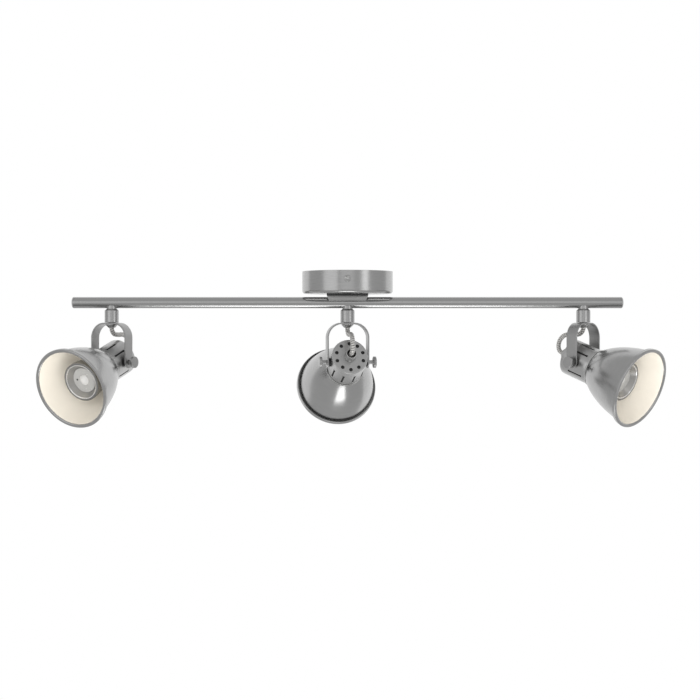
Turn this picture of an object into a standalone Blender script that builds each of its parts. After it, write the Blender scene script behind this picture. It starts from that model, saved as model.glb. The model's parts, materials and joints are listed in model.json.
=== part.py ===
"""Ceiling spotlight bar: a round canopy carries a tube with three swivelling, tilting lamps.

Frame: origin on the ceiling plane at the middle of the mounting strap, +X along the bar,
-Y towards the front, +Z up. Each lamp head is modelled about its own pivot, with +X along
the tilt axis, +Y up and +Z along the beam.
"""
import math

import bmesh
import bpy
from mathutils import Matrix, Vector

MM = 0.001
GAP = 0.3 * MM
BORE_SIDES = 12

# Bar, seen from the front
SPOT_SPACING = 250 * MM
BAR_LENGTH = 585 * MM
TUBE_RADIUS = 6 * MM
TUBE_WALL = 1 * MM
TUBE_Z = -33 * MM
CAP_THICKNESS = 1.2 * MM

# Canopy and what it hangs on
CANOPY_RADIUS = 48 * MM
CANOPY_HEIGHT = 23.6 * MM
CANOPY_WALL = 1 * MM
CANOPY_CORNER = 3 * MM
SIDE_SCREW_Z = -9 * MM
STRAP_LENGTH = 90.8 * MM
STRAP_WIDTH = 20 * MM
STRAP_THICKNESS = 2 * MM
SADDLE_LENGTH = 44 * MM
SADDLE_FOOT = 39.4 * MM
SADDLE_DEPTH = 14 * MM
NIPPLE_RADIUS = 4 * MM
NIPPLE_HOLE = NIPPLE_RADIUS + GAP

# Stem and yoke
NECK_RADIUS = 4.5 * MM
STEM_RADIUS = 7.5 * MM
STEM_BOTTOM = -54 * MM
YOKE_TOP = STEM_BOTTOM - GAP
YOKE_THICKNESS = 1.5 * MM
YOKE_WIDTH = 12.6 * MM
YOKE_HALF_SPAN = 22.5 * MM
YOKE_CORNER = 16 * MM
PIVOT_Z = -96.1 * MM
LEAD_RADIUS = 2.5 * MM

# Lamp head, along the beam from the pivot
TILT = math.radians(21)
CAN_RADIUS = 19.2 * MM
CAN_WALL = 1 * MM
CAN_BACK = -16.4 * MM
CAN_FRONT = 16.3 * MM
VENT_COUNT = 10
VENT_RADIUS = 1.75 * MM
VENT_RING = 14.6 * MM
SLOT_STEP = math.radians(36)
SLOT_WIDTH = 1.8 * MM
SLOT_BACK = -5.5 * MM
SLOT_FRONT = 12.5 * MM
SHADE_BACK = 18.7 * MM
SHADE_MOUTH = 76.4 * MM
SHADE_RADIUS = 43.8 * MM
SHADE_WALL = 1 * MM
HEM_WIDTH = 3.7 * MM
HEM_DEPTH = 6.9 * MM
HEM_LIP = 1.8 * MM
LAMP_FRONT = 57 * MM
LAMP_RADIUS = 21.2 * MM
KNOB_RADIUS = 6.1 * MM
KNOB_INNER = 27.8 * MM
KNOB_OUTER = 30.6 * MM

SPOTS = {
    "left": (-SPOT_SPACING, math.radians(-29.6)),
    "centre": (0.0, math.radians(-169.7)),
    "right": (SPOT_SPACING, math.radians(50.1)),
}

SEGMENTS_WIDE = 20
SEGMENTS_MID = 14
SEGMENTS_SMALL = 12


# ---------------------------------------------------------------- scene helpers

def clear_scene():
    for obj in list(bpy.data.objects):
        bpy.data.objects.remove(obj, do_unlink=True)


def new_collection(name):
    made = bpy.data.collections.new(name)
    bpy.context.scene.collection.children.link(made)
    return made


def material(name, colour, roughness, metallic):
    made = bpy.data.materials.new(name)
    made.use_nodes = True
    shader = made.node_tree.nodes["Principled BSDF"]
    shader.inputs["Base Color"].default_value = (*colour, 1.0)
    shader.inputs["Roughness"].default_value = roughness
    shader.inputs["Metallic"].default_value = metallic
    return made


def place(name, data, finish, parent=None, location=(0, 0, 0), rotation=(0, 0, 0)):
    """Put a mesh or curve in the part's collection under its node name."""
    obj = bpy.data.objects.new(name, data)
    PARTS.objects.link(obj)
    obj.parent = parent
    obj.location = location
    obj.rotation_euler = rotation
    data.materials.clear()
    data.materials.append(finish)
    return obj


def cutter(name, mesh, parent=None, location=(0, 0, 0), rotation=(0, 0, 0)):
    obj = bpy.data.objects.new(name, mesh)
    CUTTERS.objects.link(obj)
    obj.parent = parent
    obj.location = location
    obj.rotation_euler = rotation
    obj.hide_render = True
    obj.display_type = "WIRE"
    return obj


def boolean(obj, tool, operation="DIFFERENCE"):
    modifier = obj.modifiers.new(operation.lower(), "BOOLEAN")
    modifier.operation = operation
    modifier.object = tool
    return obj


def anchor(name, parent=None, location=(0, 0, 0), rotation=(0, 0, 0)):
    """An empty on a joint's axis, which the pieces of one moving body hang from."""
    empty = bpy.data.objects.new(name, None)
    PARTS.objects.link(empty)
    empty.parent = parent
    empty.location = location
    empty.rotation_euler = rotation
    return empty


# ---------------------------------------------------------------- shape helpers

def arc(centre_r, centre_z, radius, start, end, steps):
    """Points on a circle in a profile, from one angle to another in degrees."""
    points = []
    for step in range(steps + 1):
        angle = math.radians(start + (end - start) * step / steps)
        points.append((centre_r + radius * math.cos(angle), centre_z + radius * math.sin(angle)))
    return points


def turned_mesh(name, profile, closed=True):
    mesh = bpy.data.meshes.new(name)
    edges = [(i, i + 1) for i in range(len(profile) - 1)]
    if closed:
        edges.append((len(profile) - 1, 0))
    mesh.from_pydata([(radius, 0, height) for radius, height in profile], edges, [])
    return mesh


def turned(name, profile, finish, segments, closed=True, **placing):
    """Turn a profile of (radius, height) points, outer side from top to bottom, about Z."""
    obj = place(name, turned_mesh(name, profile, closed), finish, **placing)
    screw = obj.modifiers.new("turn", "SCREW")
    screw.steps = segments
    screw.render_steps = segments
    screw.use_merge_vertices = True
    screw.merge_threshold = 0.00001
    screw.use_smooth_shade = True
    return obj


def add_cylinder(shape, radius, length, matrix, sides=BORE_SIDES):
    bmesh.ops.create_cone(shape, cap_ends=True, segments=sides, radius1=radius,
                          radius2=radius, depth=length, matrix=matrix)


def add_box(shape, size, matrix):
    bmesh.ops.create_cube(shape, size=1, matrix=matrix @ Matrix.Diagonal((*size, 1)))


def mesh_of(name, shape):
    mesh = bpy.data.meshes.new(name)
    shape.to_mesh(mesh)
    shape.free()
    return mesh


def moved(x=0.0, y=0.0, z=0.0):
    return Matrix.Translation(Vector((x, y, z)))


def turned_by(angle, axis):
    return Matrix.Rotation(angle, 4, axis)


ALONG_X = turned_by(math.pi / 2, "Y")
ALONG_Y = turned_by(math.pi / 2, "X")


def plate_mesh(name, outline, thickness):
    """A flat outline in XY, thickened about its plane, as a welded mesh."""
    curve = bpy.data.curves.new(name, "CURVE")
    curve.dimensions = "2D"
    curve.fill_mode = "BOTH"
    curve.extrude = thickness / 2
    spline = curve.splines.new("POLY")
    spline.points.add(len(outline) - 1)
    for point, (x, y) in zip(spline.points, outline):
        point.co = (x, y, 0, 1)
    spline.use_cyclic_u = True
    holder = bpy.data.objects.new(name, curve)
    bpy.context.scene.collection.objects.link(holder)
    bpy.context.view_layer.update()
    seen = holder.evaluated_get(bpy.context.evaluated_depsgraph_get())
    mesh = bpy.data.meshes.new_from_object(seen)
    bpy.data.objects.remove(holder, do_unlink=True)
    bpy.data.curves.remove(curve)
    shape = bmesh.new()
    shape.from_mesh(mesh)
    bmesh.ops.remove_doubles(shape, verts=shape.verts, dist=0.000001)
    bmesh.ops.recalc_face_normals(shape, faces=shape.faces)
    shape.to_mesh(mesh)
    shape.free()
    return mesh


def stadium(length, width, steps=6):
    """A slot outline with round ends, along X."""
    reach = (length - width) / 2
    right = arc(reach, 0, width / 2, -90, 90, steps)
    left = arc(-reach, 0, width / 2, 90, 270, steps)
    return right + left


# ---------------------------------------------------------------- canopy and bar

def mounting_strap():
    """U-shaped steel strap: screwed to the ceiling, its ears take the canopy's side screws."""
    half = STRAP_LENGTH / 2
    ear = 16 * MM
    t = STRAP_THICKNESS
    outline = [(-half, 0), (-half, -ear), (-half + t, -ear), (-half + t, -t),
               (half - t, -t), (half - t, -ear), (half, -ear), (half, 0)]
    mesh = plate_mesh("mounting_strap", outline, STRAP_WIDTH)
    mesh.transform(turned_by(math.pi / 2, "Z") @ turned_by(math.pi / 2, "X"))
    strap = place("mounting_strap", mesh, ZINC)
    slot = plate_mesh("strap_slot", stadium(14 * MM, 5 * MM), 4 * t)
    slot.transform(turned_by(math.pi / 2, "Z"))
    for side in (-1, 1):
        boolean(strap, cutter(f"strap_slot_{side}", slot, location=(0, side * 26 * MM, -t / 2)))
    holes = bmesh.new()
    add_cylinder(holes, 2.3 * MM, 1.2 * STRAP_LENGTH, moved(z=SIDE_SCREW_Z) @ ALONG_Y)
    boolean(strap, cutter("strap_ear_holes", mesh_of("strap_ear_holes", holes)))
    earth = bmesh.new()
    add_cylinder(earth, 2 * MM, 4 * t, moved(x=5 * MM, y=10 * MM, z=-t / 2))
    boolean(strap, cutter("strap_earth_hole", mesh_of("strap_earth_hole", earth)))


def canopy():
    r, h, wall, corner = CANOPY_RADIUS, CANOPY_HEIGHT, CANOPY_WALL, CANOPY_CORNER
    profile = [(r, 0)]
    profile += arc(r - corner, corner - h, corner, 0, -90, 3)
    profile += [(NIPPLE_HOLE, -h), (NIPPLE_HOLE, wall - h)]
    profile += arc(r - corner, corner - h, corner - wall, -90, 0, 2)
    profile.append((r - wall, 0))
    cup = turned("canopy", profile, NICKEL, 32)
    holes = bmesh.new()
    add_cylinder(holes, 2.3 * MM, 3 * r, moved(z=SIDE_SCREW_Z) @ ALONG_Y)
    boolean(cup, cutter("canopy_side_holes", mesh_of("canopy_side_holes", holes)))


def canopy_screw(name, side):
    """Pan-head screw with a cross recess, its head against the canopy's wall."""
    head, depth, shank, length = 3.5 * MM, 2.2 * MM, 1.95 * MM, 8 * MM
    profile = [(0, depth), (0.55 * head, 0.9 * depth), (0.9 * head, 0.55 * depth), (head, 0),
               (shank, 0), (shank, -length), (0, -length)]
    turn = -side * math.pi / 2
    spot = (0, side * (CANOPY_RADIUS + GAP), SIDE_SCREW_Z)
    screw = turned(name, profile, NICKEL, SEGMENTS_SMALL, closed=False,
                   location=spot, rotation=(turn, 0, 0))
    for number, angle in enumerate((25, 115)):
        blade = bmesh.new()
        add_box(blade, (0.9 * MM, 4 * MM, 2.4 * MM),
                moved(z=depth) @ turned_by(math.radians(angle), "Z"))
        name_here = f"{name}_recess_{number}"
        boolean(screw, cutter(name_here, mesh_of(name_here, blade), location=spot,
                              rotation=(turn, 0, 0)))


def earth_screw():
    """Brass screw in the strap's corner, its head below."""
    length = STRAP_THICKNESS - GAP
    profile = [(0, length), (1.7 * MM, length), (1.7 * MM, -GAP), (3 * MM, -GAP),
               (2.7 * MM, -2 * MM), (0, -2.2 * MM)]
    turned("earth_screw", profile, BRASS, SEGMENTS_SMALL, closed=False,
           location=(5 * MM, 10 * MM, -STRAP_THICKNESS))


def terminal_block():
    """Three-way block on the canopy's floor, with a wire way through each pole."""
    length, width, height = 12 * MM, 26 * MM, 12 * MM
    shape = bmesh.new()
    add_box(shape, (length, width, height), Matrix())
    block = place("terminal_block", mesh_of("terminal_block", shape), WHITE_PLASTIC,
                  location=(26 * MM, 0, CANOPY_WALL - CANOPY_HEIGHT + GAP + height / 2))
    bevel = block.modifiers.new("edges", "BEVEL")
    bevel.width = 0.8 * MM
    bevel.segments = 1
    holes = bmesh.new()
    for pole in (-1, 0, 1):
        add_cylinder(holes, 1.8 * MM, 2 * length, moved(y=pole * 8 * MM) @ ALONG_X, 8)
    boolean(block, cutter("terminal_ways", mesh_of("terminal_ways", holes),
                          location=block.location))


def saddle_and_gasket():
    """Metal saddle over the tube, and the black gasket between it and the canopy."""
    gasket_top = -CANOPY_HEIGHT - GAP
    gasket_height = 1.4 * MM
    shape = bmesh.new()
    add_box(shape, (SADDLE_LENGTH, SADDLE_DEPTH, gasket_height), Matrix())
    gasket = place("saddle_gasket", mesh_of("saddle_gasket", shape), BLACK_PLASTIC,
                   location=(0, 0, gasket_top - gasket_height / 2))
    top = gasket_top - gasket_height - GAP
    bottom = top - 5.4 * MM
    shoulder = 0.8 * MM
    half, foot = SADDLE_LENGTH / 2, SADDLE_FOOT / 2
    outline = [(half - shoulder, top), (half, top - shoulder), (half, top - 1.8 * shoulder),
               (foot, bottom), (-foot, bottom), (-half, top - 1.8 * shoulder),
               (-half, top - shoulder), (shoulder - half, top)]
    mesh = plate_mesh("saddle", outline, SADDLE_DEPTH)
    mesh.transform(ALONG_Y)
    saddle = place("saddle", mesh, NICKEL)
    groove = bmesh.new()
    add_cylinder(groove, TUBE_RADIUS + GAP, 2 * SADDLE_LENGTH, moved(z=TUBE_Z) @ ALONG_X, 24)
    boolean(saddle, cutter("saddle_groove", mesh_of("saddle_groove", groove)))
    hole = bmesh.new()
    add_cylinder(hole, NIPPLE_HOLE, 20 * MM, moved(z=top), SEGMENTS_SMALL)
    tool = cutter("saddle_hole", mesh_of("saddle_hole", hole))
    boolean(saddle, tool)
    boolean(gasket, tool)


def saddle_nipple_and_nut():
    """Hollow threaded nipple from the canopy into the tube, and its nut inside the canopy."""
    top, bottom, bore = -15 * MM, -28.8 * MM, 2.8 * MM
    profile = [(NIPPLE_RADIUS, top), (NIPPLE_RADIUS, bottom), (bore, bottom), (bore, top)]
    turned("saddle_nipple", profile, ZINC, SEGMENTS_SMALL)
    height = 5 * MM
    shape = bmesh.new()
    middle = CANOPY_WALL - CANOPY_HEIGHT + GAP + height / 2
    add_cylinder(shape, 7.5 * MM, height, Matrix(), 6)
    nut = place("saddle_nut", mesh_of("saddle_nut", shape), ZINC, location=(0, 0, middle))
    hole = bmesh.new()
    add_cylinder(hole, NIPPLE_HOLE, 3 * height, moved(z=middle), SEGMENTS_SMALL)
    boolean(nut, cutter("saddle_nut_hole", mesh_of("saddle_nut_hole", hole)))


def bar_tube():
    """The tube, with a hole above for the nipple and one below for each stem."""
    half = BAR_LENGTH / 2 - CAP_THICKNESS - GAP
    inner = TUBE_RADIUS - TUBE_WALL
    profile = [(TUBE_RADIUS, half), (TUBE_RADIUS, -half), (inner, -half), (inner, half)]
    tube = turned("bar_tube", profile, NICKEL, SEGMENTS_WIDE, location=(0, 0, TUBE_Z),
                  rotation=(0, math.pi / 2, 0))
    holes = bmesh.new()
    add_cylinder(holes, NIPPLE_HOLE, TUBE_RADIUS, moved(z=TUBE_Z + TUBE_RADIUS), SEGMENTS_SMALL)
    for x, _ in SPOTS.values():
        add_cylinder(holes, NECK_RADIUS + GAP, TUBE_RADIUS, moved(x=x, z=TUBE_Z - TUBE_RADIUS),
                     SEGMENTS_SMALL)
    boolean(tube, cutter("bar_tube_holes", mesh_of("bar_tube_holes", holes)))


def end_cap(name, side):
    """Shallow domed button with a spigot in the tube's bore."""
    spigot = TUBE_RADIUS - TUBE_WALL - GAP
    dome = 0.5 * MM
    profile = [(0, CAP_THICKNESS), (0.6 * TUBE_RADIUS, CAP_THICKNESS - 0.25 * dome),
               (0.93 * TUBE_RADIUS, CAP_THICKNESS - dome), (TUBE_RADIUS, CAP_THICKNESS - 1.4 * dome),
               (TUBE_RADIUS, 0), (spigot, 0), (spigot, -5 * MM), (0, -5 * MM)]
    turned(name, profile, NICKEL, SEGMENTS_MID, closed=False,
           location=(side * (BAR_LENGTH / 2 - CAP_THICKNESS), 0, TUBE_Z),
           rotation=(0, side * math.pi / 2, 0))


def bar_wiring():
    """Sleeved supply loom lying in the tube from the first stem to the last."""
    reach = SPOT_SPACING - 4 * MM
    curve = tube_curve("bar_wiring", [(-reach, 0, 0), (-reach / 2, 0, -0.4 * MM), (0, 0, 0),
                                      (reach / 2, 0, -0.4 * MM), (reach, 0, 0)], 1.9 * MM)
    place("bar_wiring", curve, WHITE_PLASTIC, location=(0, 0, TUBE_Z + 1 * MM))


def tube_curve(name, points, radius):
    curve = bpy.data.curves.new(name, "CURVE")
    curve.dimensions = "3D"
    curve.bevel_depth = radius
    curve.bevel_resolution = 2
    curve.use_fill_caps = True
    spline = curve.splines.new("POLY")
    spline.points.add(len(points) - 1)
    for point, where in zip(spline.points, points):
        point.co = (*where, 1)
    return curve


# ---------------------------------------------------------------- stem, yoke and lead

def stem(name, x):
    """Hollow turned stem: neck into the tube, swivel barrel, threaded tail through the yoke."""
    neck, barrel, bore, tail = NECK_RADIUS, STEM_RADIUS, 3.2 * MM, NIPPLE_RADIUS
    profile = [(neck, -36 * MM), (neck, -39.6 * MM), (0.93 * barrel, -40.9 * MM),
               (barrel, -41.4 * MM), (barrel, STEM_BOTTOM + 0.4 * MM),
               (0.95 * barrel, STEM_BOTTOM), (tail, STEM_BOTTOM), (tail, -57.3 * MM),
               (bore, -57.3 * MM), (bore, -36 * MM)]
    turned(name, profile, NICKEL, SEGMENTS_MID, location=(x, 0, 0))


def swivel_nut(name, x):
    """Cone-shaped lock nut under the yoke, with the lead's outlet in its point."""
    top = YOKE_TOP - YOKE_THICKNESS - GAP
    outlet = LEAD_RADIUS + 0.45 * MM
    profile = [(6.5 * MM, top), (6.5 * MM, top - 0.6 * MM), (3.6 * MM, -59.6 * MM),
               (outlet, -59.6 * MM), (outlet, -57.7 * MM), (NIPPLE_HOLE, -57.7 * MM),
               (NIPPLE_HOLE, top)]
    turned(name, profile, NICKEL, SEGMENTS_MID, location=(x, 0, 0))


def yoke_outline():
    """Inverted U in the plane of the arms: outer edge up and over, inner edge back."""
    low = PIVOT_Z - YOKE_WIDTH
    outer, inner = YOKE_HALF_SPAN, YOKE_HALF_SPAN - YOKE_THICKNESS
    bend_x = outer - YOKE_CORNER
    bend_z = YOKE_TOP - YOKE_CORNER
    bend_in = YOKE_CORNER - YOKE_THICKNESS
    points = [(outer, low)]
    points += arc(bend_x, bend_z, YOKE_CORNER, 0, 90, 4)
    points += arc(-bend_x, bend_z, YOKE_CORNER, 90, 180, 4)
    points += [(-outer, low), (-inner, low)]
    points += arc(-bend_x, bend_z, bend_in, 180, 90, 4)
    points += arc(bend_x, bend_z, bend_in, 90, 0, 4)
    points.append((inner, low))
    return points


def yoke(name, turn):
    """Bent flat strip with round arm ends, a swivel hole on top and the pivot holes."""
    mesh = plate_mesh(name, yoke_outline(), 1.2 * YOKE_WIDTH)
    mesh.transform(ALONG_Y)
    bracket = place(name, mesh, NICKEL, parent=turn)
    height = YOKE_TOP - PIVOT_Z
    strip = stadium(3 * height, YOKE_WIDTH)
    limit = plate_mesh(f"{name}_edge", strip, 3 * YOKE_HALF_SPAN)
    limit.transform(ALONG_X)
    lift = PIVOT_Z + 1.5 * height - YOKE_WIDTH / 2
    boolean(bracket, cutter(f"{name}_edge", limit, parent=turn, location=(0, 0, lift)), "INTERSECT")
    pivots = bmesh.new()
    add_cylinder(pivots, 2.6 * MM, 3 * YOKE_HALF_SPAN, moved(z=PIVOT_Z) @ ALONG_X)
    boolean(bracket, cutter(f"{name}_pivots", mesh_of(f"{name}_pivots", pivots), parent=turn))
    swivel = bmesh.new()
    add_cylinder(swivel, NIPPLE_HOLE, 20 * MM, moved(z=YOKE_TOP), SEGMENTS_SMALL)
    boolean(bracket, cutter(f"{name}_swivel", mesh_of(f"{name}_swivel", swivel), parent=turn))


def lead_points():
    """Route in the head's upright plane: (distance behind the stem, height), then resampled."""
    beam_y, beam_z = math.cos(TILT), -math.sin(TILT)
    into_gland = [(-t * beam_y, PIVOT_Z + t * beam_z) for t in (-25 * MM, -21 * MM, -14 * MM)]
    route = [(0, -52 * MM), (0, -56 * MM), (0, -60 * MM), (1.3 * MM, -63.4 * MM),
             (5 * MM, -66.2 * MM), (12 * MM, -66.9 * MM), (19 * MM, -66.6 * MM),
             (25 * MM, -68.2 * MM), (29.6 * MM, -72.6 * MM), (31.4 * MM, -78.4 * MM),
             (30.4 * MM, -83.4 * MM), (27.4 * MM, -85.9 * MM)] + into_gland
    return smooth_route([Vector((0, back, height)) for back, height in route], 2)


def smooth_route(points, pieces):
    """Catmull-Rom curve through the points, with a few steps between each pair."""
    ends = [2 * points[0] - points[1]] + points + [2 * points[-1] - points[-2]]
    smooth = []
    for before, start, end, after in zip(ends, ends[1:], ends[2:], ends[3:]):
        for piece in range(pieces):
            t = piece / pieces
            bend = 2 * before - 5 * start + 4 * end - after
            twist = 3 * (start - end) + after - before
            smooth.append(start + 0.5 * t * ((end - before) + t * (bend + t * twist)))
    return smooth + [points[-1]]


def lead(name, turn):
    place(name, tube_curve(name, lead_points(), LEAD_RADIUS), SLEEVE, parent=turn)


# ---------------------------------------------------------------- lamp head

def lamp_can(name, head):
    """Back housing: a cup with vent holes in its cap and slots along its side."""
    r, wall, corner = CAN_RADIUS, CAN_WALL, 0.8 * MM
    profile = [(r, CAN_FRONT), (r, CAN_BACK + corner), (r - corner, CAN_BACK),
               (NIPPLE_HOLE, CAN_BACK), (NIPPLE_HOLE, CAN_BACK + wall),
               (r - wall, CAN_BACK + wall), (r - wall, CAN_FRONT)]
    can = turned(name, profile, NICKEL, SEGMENTS_WIDE, parent=head)
    holes = bmesh.new()
    for number in range(VENT_COUNT):
        turn = turned_by(math.radians(90) + number * math.tau / VENT_COUNT, "Z")
        add_cylinder(holes, VENT_RADIUS, 4 * wall, turn @ moved(VENT_RING, 0, CAN_BACK), 6)
    boolean(can, cutter(f"{name}_vents", mesh_of(f"{name}_vents", holes), parent=head))
    slots = bmesh.new()
    middle = (SLOT_FRONT + SLOT_BACK) / 2
    for side in (0, math.pi):
        for step in (-2, -1, 1, 2):
            turn = turned_by(side + step * SLOT_STEP, "Z")
            add_box(slots, (4 * wall, SLOT_WIDTH, SLOT_FRONT - SLOT_BACK), turn @ moved(r, 0, middle))
    boolean(can, cutter(f"{name}_slots", mesh_of(f"{name}_slots", slots), parent=head))
    pivots = bmesh.new()
    add_cylinder(pivots, 2.4 * MM, 3 * r, ALONG_X)
    boolean(can, cutter(f"{name}_pivots", mesh_of(f"{name}_pivots", pivots), parent=head))


def cable_gland(name, head):
    """Nipple on the can's cap: flared foot, open end for the lead, spigot through the cap."""
    foot = CAN_BACK - GAP
    profile = [(NIPPLE_RADIUS, -12.4 * MM), (NIPPLE_RADIUS, foot), (6.4 * MM, foot),
               (6.2 * MM, -17.6 * MM), (5.5 * MM, -19 * MM), (5.5 * MM, -25.7 * MM),
               (5.1 * MM, -26.1 * MM), (4.65 * MM, -26.1 * MM), (4.65 * MM, -19.6 * MM),
               (3.1 * MM, -18.2 * MM), (3.1 * MM, -12.4 * MM)]
    turned(name, profile, NICKEL, SEGMENTS_MID, parent=head)


def lampholder(name, head):
    """Ceramic twist-lock holder: located in the can by its flange, recess for the lamp's pins."""
    flange = CAN_RADIUS - CAN_WALL - 2 * GAP
    profile = [(13 * MM, 6.2 * MM), (13 * MM, -6 * MM), (flange, -6 * MM), (flange, -8 * MM),
               (13 * MM, -8 * MM), (12 * MM, -10.5 * MM), (2.5 * MM, -10.5 * MM),
               (2.5 * MM, -3.4 * MM), (8.3 * MM, -3.4 * MM), (8.3 * MM, 6.2 * MM)]
    turned(name, profile, CERAMIC, SEGMENTS_MID, parent=head)


def lamp_body(name, head):
    """Reflector lamp: dished front, tapering body, base with two headed pins."""
    front, rim = LAMP_FRONT, LAMP_RADIUS
    profile = [(0, 50.4 * MM), (14.3 * MM, 50.4 * MM), (17.2 * MM, front - 0.8 * MM),
               (18.6 * MM, front - 0.5 * MM), (rim - 0.6 * MM, front), (rim, front - 0.7 * MM),
               (rim, front - 4 * MM), (20.2 * MM, 46 * MM), (17.8 * MM, 33 * MM),
               (15.6 * MM, 20 * MM), (14.6 * MM, 10 * MM), (14.6 * MM, 8 * MM),
               (7.8 * MM, 8 * MM), (7.8 * MM, 5 * MM), (0, 5 * MM)]
    body = turned(name, profile, LAMP_METAL, SEGMENTS_MID, closed=False, parent=head)
    for number, side in enumerate((-1, 1)):
        pin = [(1.4 * MM, 6.5 * MM), (1.4 * MM, -0.8 * MM), (2.4 * MM, -0.8 * MM),
               (2.4 * MM, -2.8 * MM)]
        profile_pin = [(0, 6.5 * MM)] + pin + [(0, -2.8 * MM)]
        tool = turned(f"{name}_pin_{number}", profile_pin, LAMP_METAL, 6, closed=False,
                      parent=head, location=(0, side * 5 * MM, 0))
        PARTS.objects.unlink(tool)
        CUTTERS.objects.link(tool)
        tool.hide_render = True
        tool.display_type = "WIRE"
        boolean(body, tool, "UNION")


def lamp_lens(name, head):
    """Front glass, seated in the lamp's dish, with a domed middle."""
    back = 50.4 * MM + GAP
    flat = back + 1 * MM
    profile = [(0, flat + 2 * MM), (2.6 * MM, flat + 1.7 * MM), (4.6 * MM, flat + 0.9 * MM),
               (5.6 * MM, flat), (13.6 * MM, flat), (13.6 * MM, back), (0, back)]
    turned(name, profile, GLASS, SEGMENTS_MID, closed=False, parent=head)


def neck_ring(name, head):
    outer, inner = 20.3 * MM, CAN_RADIUS - CAN_WALL
    front, back = SHADE_BACK - GAP, CAN_FRONT + GAP
    profile = [(outer, front), (outer, back), (inner, back), (inner, front)]
    turned(name, profile, NICKEL, SEGMENTS_WIDE, parent=head)


def bell_curve(start, control, end, steps):
    """Quadratic curve from the shade's neck to its rim."""
    points = []
    for step in range(steps + 1):
        s = step / steps
        points.append(tuple((1 - s) ** 2 * a + 2 * s * (1 - s) * b + s * s * c
                            for a, b, c in zip(start, control, end)))
    return points


def shade(name, head):
    """Bell-shaped shade of sheet metal, its rim folded outwards and back into an open hem."""
    wall, hole, front = SHADE_WALL, CAN_RADIUS - CAN_WALL, SHADE_MOUTH
    shoulder = (20.8 * MM, SHADE_BACK + 0.8 * MM)
    flank_end = (SHADE_RADIUS - HEM_WIDTH, front - HEM_DEPTH)
    lip_inner = SHADE_RADIUS - HEM_LIP
    outer = bell_curve(flank_end, (35.2 * MM, 38 * MM), shoulder, 5)
    inner = bell_curve((shoulder[0] - 0.6 * wall, shoulder[1] + wall),
                       (35.2 * MM - wall, 38 * MM + 0.5 * wall), (flank_end[0] - wall, flank_end[1]), 4)
    fold = [(flank_end[0] - 0.5 * wall, front - 1.8 * MM), (flank_end[0] + 0.7 * wall, front - 0.3 * MM),
            (lip_inner + 0.2 * MM, front), (SHADE_RADIUS - 0.4 * MM, front - 0.4 * MM),
            (SHADE_RADIUS, front - 1.4 * MM)]
    lip = [(lip_inner + 1 * MM, front - 5.1 * MM), (lip_inner, front - 4.8 * MM)]
    slit = [(lip_inner, front - 2 * MM), (flank_end[0] + 0.5 * wall, front - 2 * MM)]
    profile = fold + lip + slit + outer
    profile += [(20.2 * MM, SHADE_BACK), (hole, SHADE_BACK), (hole, SHADE_BACK + wall)] + inner
    turned(name, profile, NICKEL, SEGMENTS_WIDE, parent=head)


def pivot_spacer(name, head, side):
    """Black spacer between the can and the yoke's arm, its inner face shaped to the can."""
    inner, outer = 18 * MM, YOKE_HALF_SPAN - YOKE_THICKNESS - GAP
    profile = [(4.6 * MM, outer), (4.6 * MM, inner), (2.4 * MM, inner), (2.4 * MM, outer)]
    turn = (0, side * math.pi / 2, 0)
    spacer = turned(name, profile, BLACK_PLASTIC, SEGMENTS_SMALL, parent=head, rotation=turn)
    hollow = bmesh.new()
    add_cylinder(hollow, CAN_RADIUS + GAP, 20 * MM, Matrix(), 40)
    boolean(spacer, cutter(f"{name}_seat", mesh_of(f"{name}_seat", hollow), parent=head))


def thumb_screw(name, head, side):
    """Round thumb screw: plain head, shank through the yoke's arm, thread into the can."""
    bevel = 0.4 * MM
    profile = [(0, KNOB_OUTER), (KNOB_RADIUS - bevel, KNOB_OUTER), (KNOB_RADIUS, KNOB_OUTER - bevel),
               (KNOB_RADIUS, KNOB_INNER + bevel), (KNOB_RADIUS - bevel, KNOB_INNER),
               (2.1 * MM, KNOB_INNER), (2.1 * MM, 16.6 * MM), (0, 16.6 * MM)]
    turned(name, profile, NICKEL, SEGMENTS_SMALL, closed=False, parent=head,
           rotation=(0, side * math.pi / 2, 0))


def spot(label, x, yaw):
    stem(f"stem_{label}", x)
    swivel_nut(f"swivel_nut_{label}", x)
    turn = anchor(f"swivel_axis_{label}", location=(x, 0, 0), rotation=(0, 0, yaw))
    yoke(f"yoke_{label}", turn)
    lead(f"lead_{label}", turn)
    head = anchor(f"tilt_axis_{label}", turn, (0, 0, PIVOT_Z), (math.pi / 2 + TILT, 0, 0))
    lamp_can(f"lamp_can_{label}", head)
    cable_gland(f"cable_gland_{label}", head)
    lampholder(f"lampholder_{label}", head)
    lamp_body(f"lamp_body_{label}", head)
    lamp_lens(f"lamp_lens_{label}", head)
    neck_ring(f"neck_ring_{label}", head)
    shade(f"shade_{label}", head)
    for letter, side in (("a", -1), ("b", 1)):
        pivot_spacer(f"pivot_spacer_{label}_{letter}", head, side)
        thumb_screw(f"thumb_screw_{label}_{letter}", head, side)


clear_scene()
PARTS = new_collection("spotlight_bar")
CUTTERS = new_collection("cutters")

NICKEL = material("satin_nickel", (0.62, 0.61, 0.59), 0.3, 1.0)
ZINC = material("zinc_steel", (0.55, 0.56, 0.58), 0.45, 1.0)
BRASS = material("brass", (0.72, 0.53, 0.25), 0.35, 1.0)
BLACK_PLASTIC = material("black_plastic", (0.02, 0.02, 0.02), 0.5, 0.0)
WHITE_PLASTIC = material("white_plastic", (0.8, 0.79, 0.76), 0.5, 0.0)
SLEEVE = material("braided_sleeve", (0.45, 0.43, 0.4), 0.6, 0.3)
CERAMIC = material("ceramic", (0.86, 0.84, 0.8), 0.35, 0.0)
LAMP_METAL = material("lamp_metal", (0.5, 0.5, 0.5), 0.35, 1.0)
GLASS = material("frosted_glass", (0.85, 0.87, 0.87), 0.25, 0.0)

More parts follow.
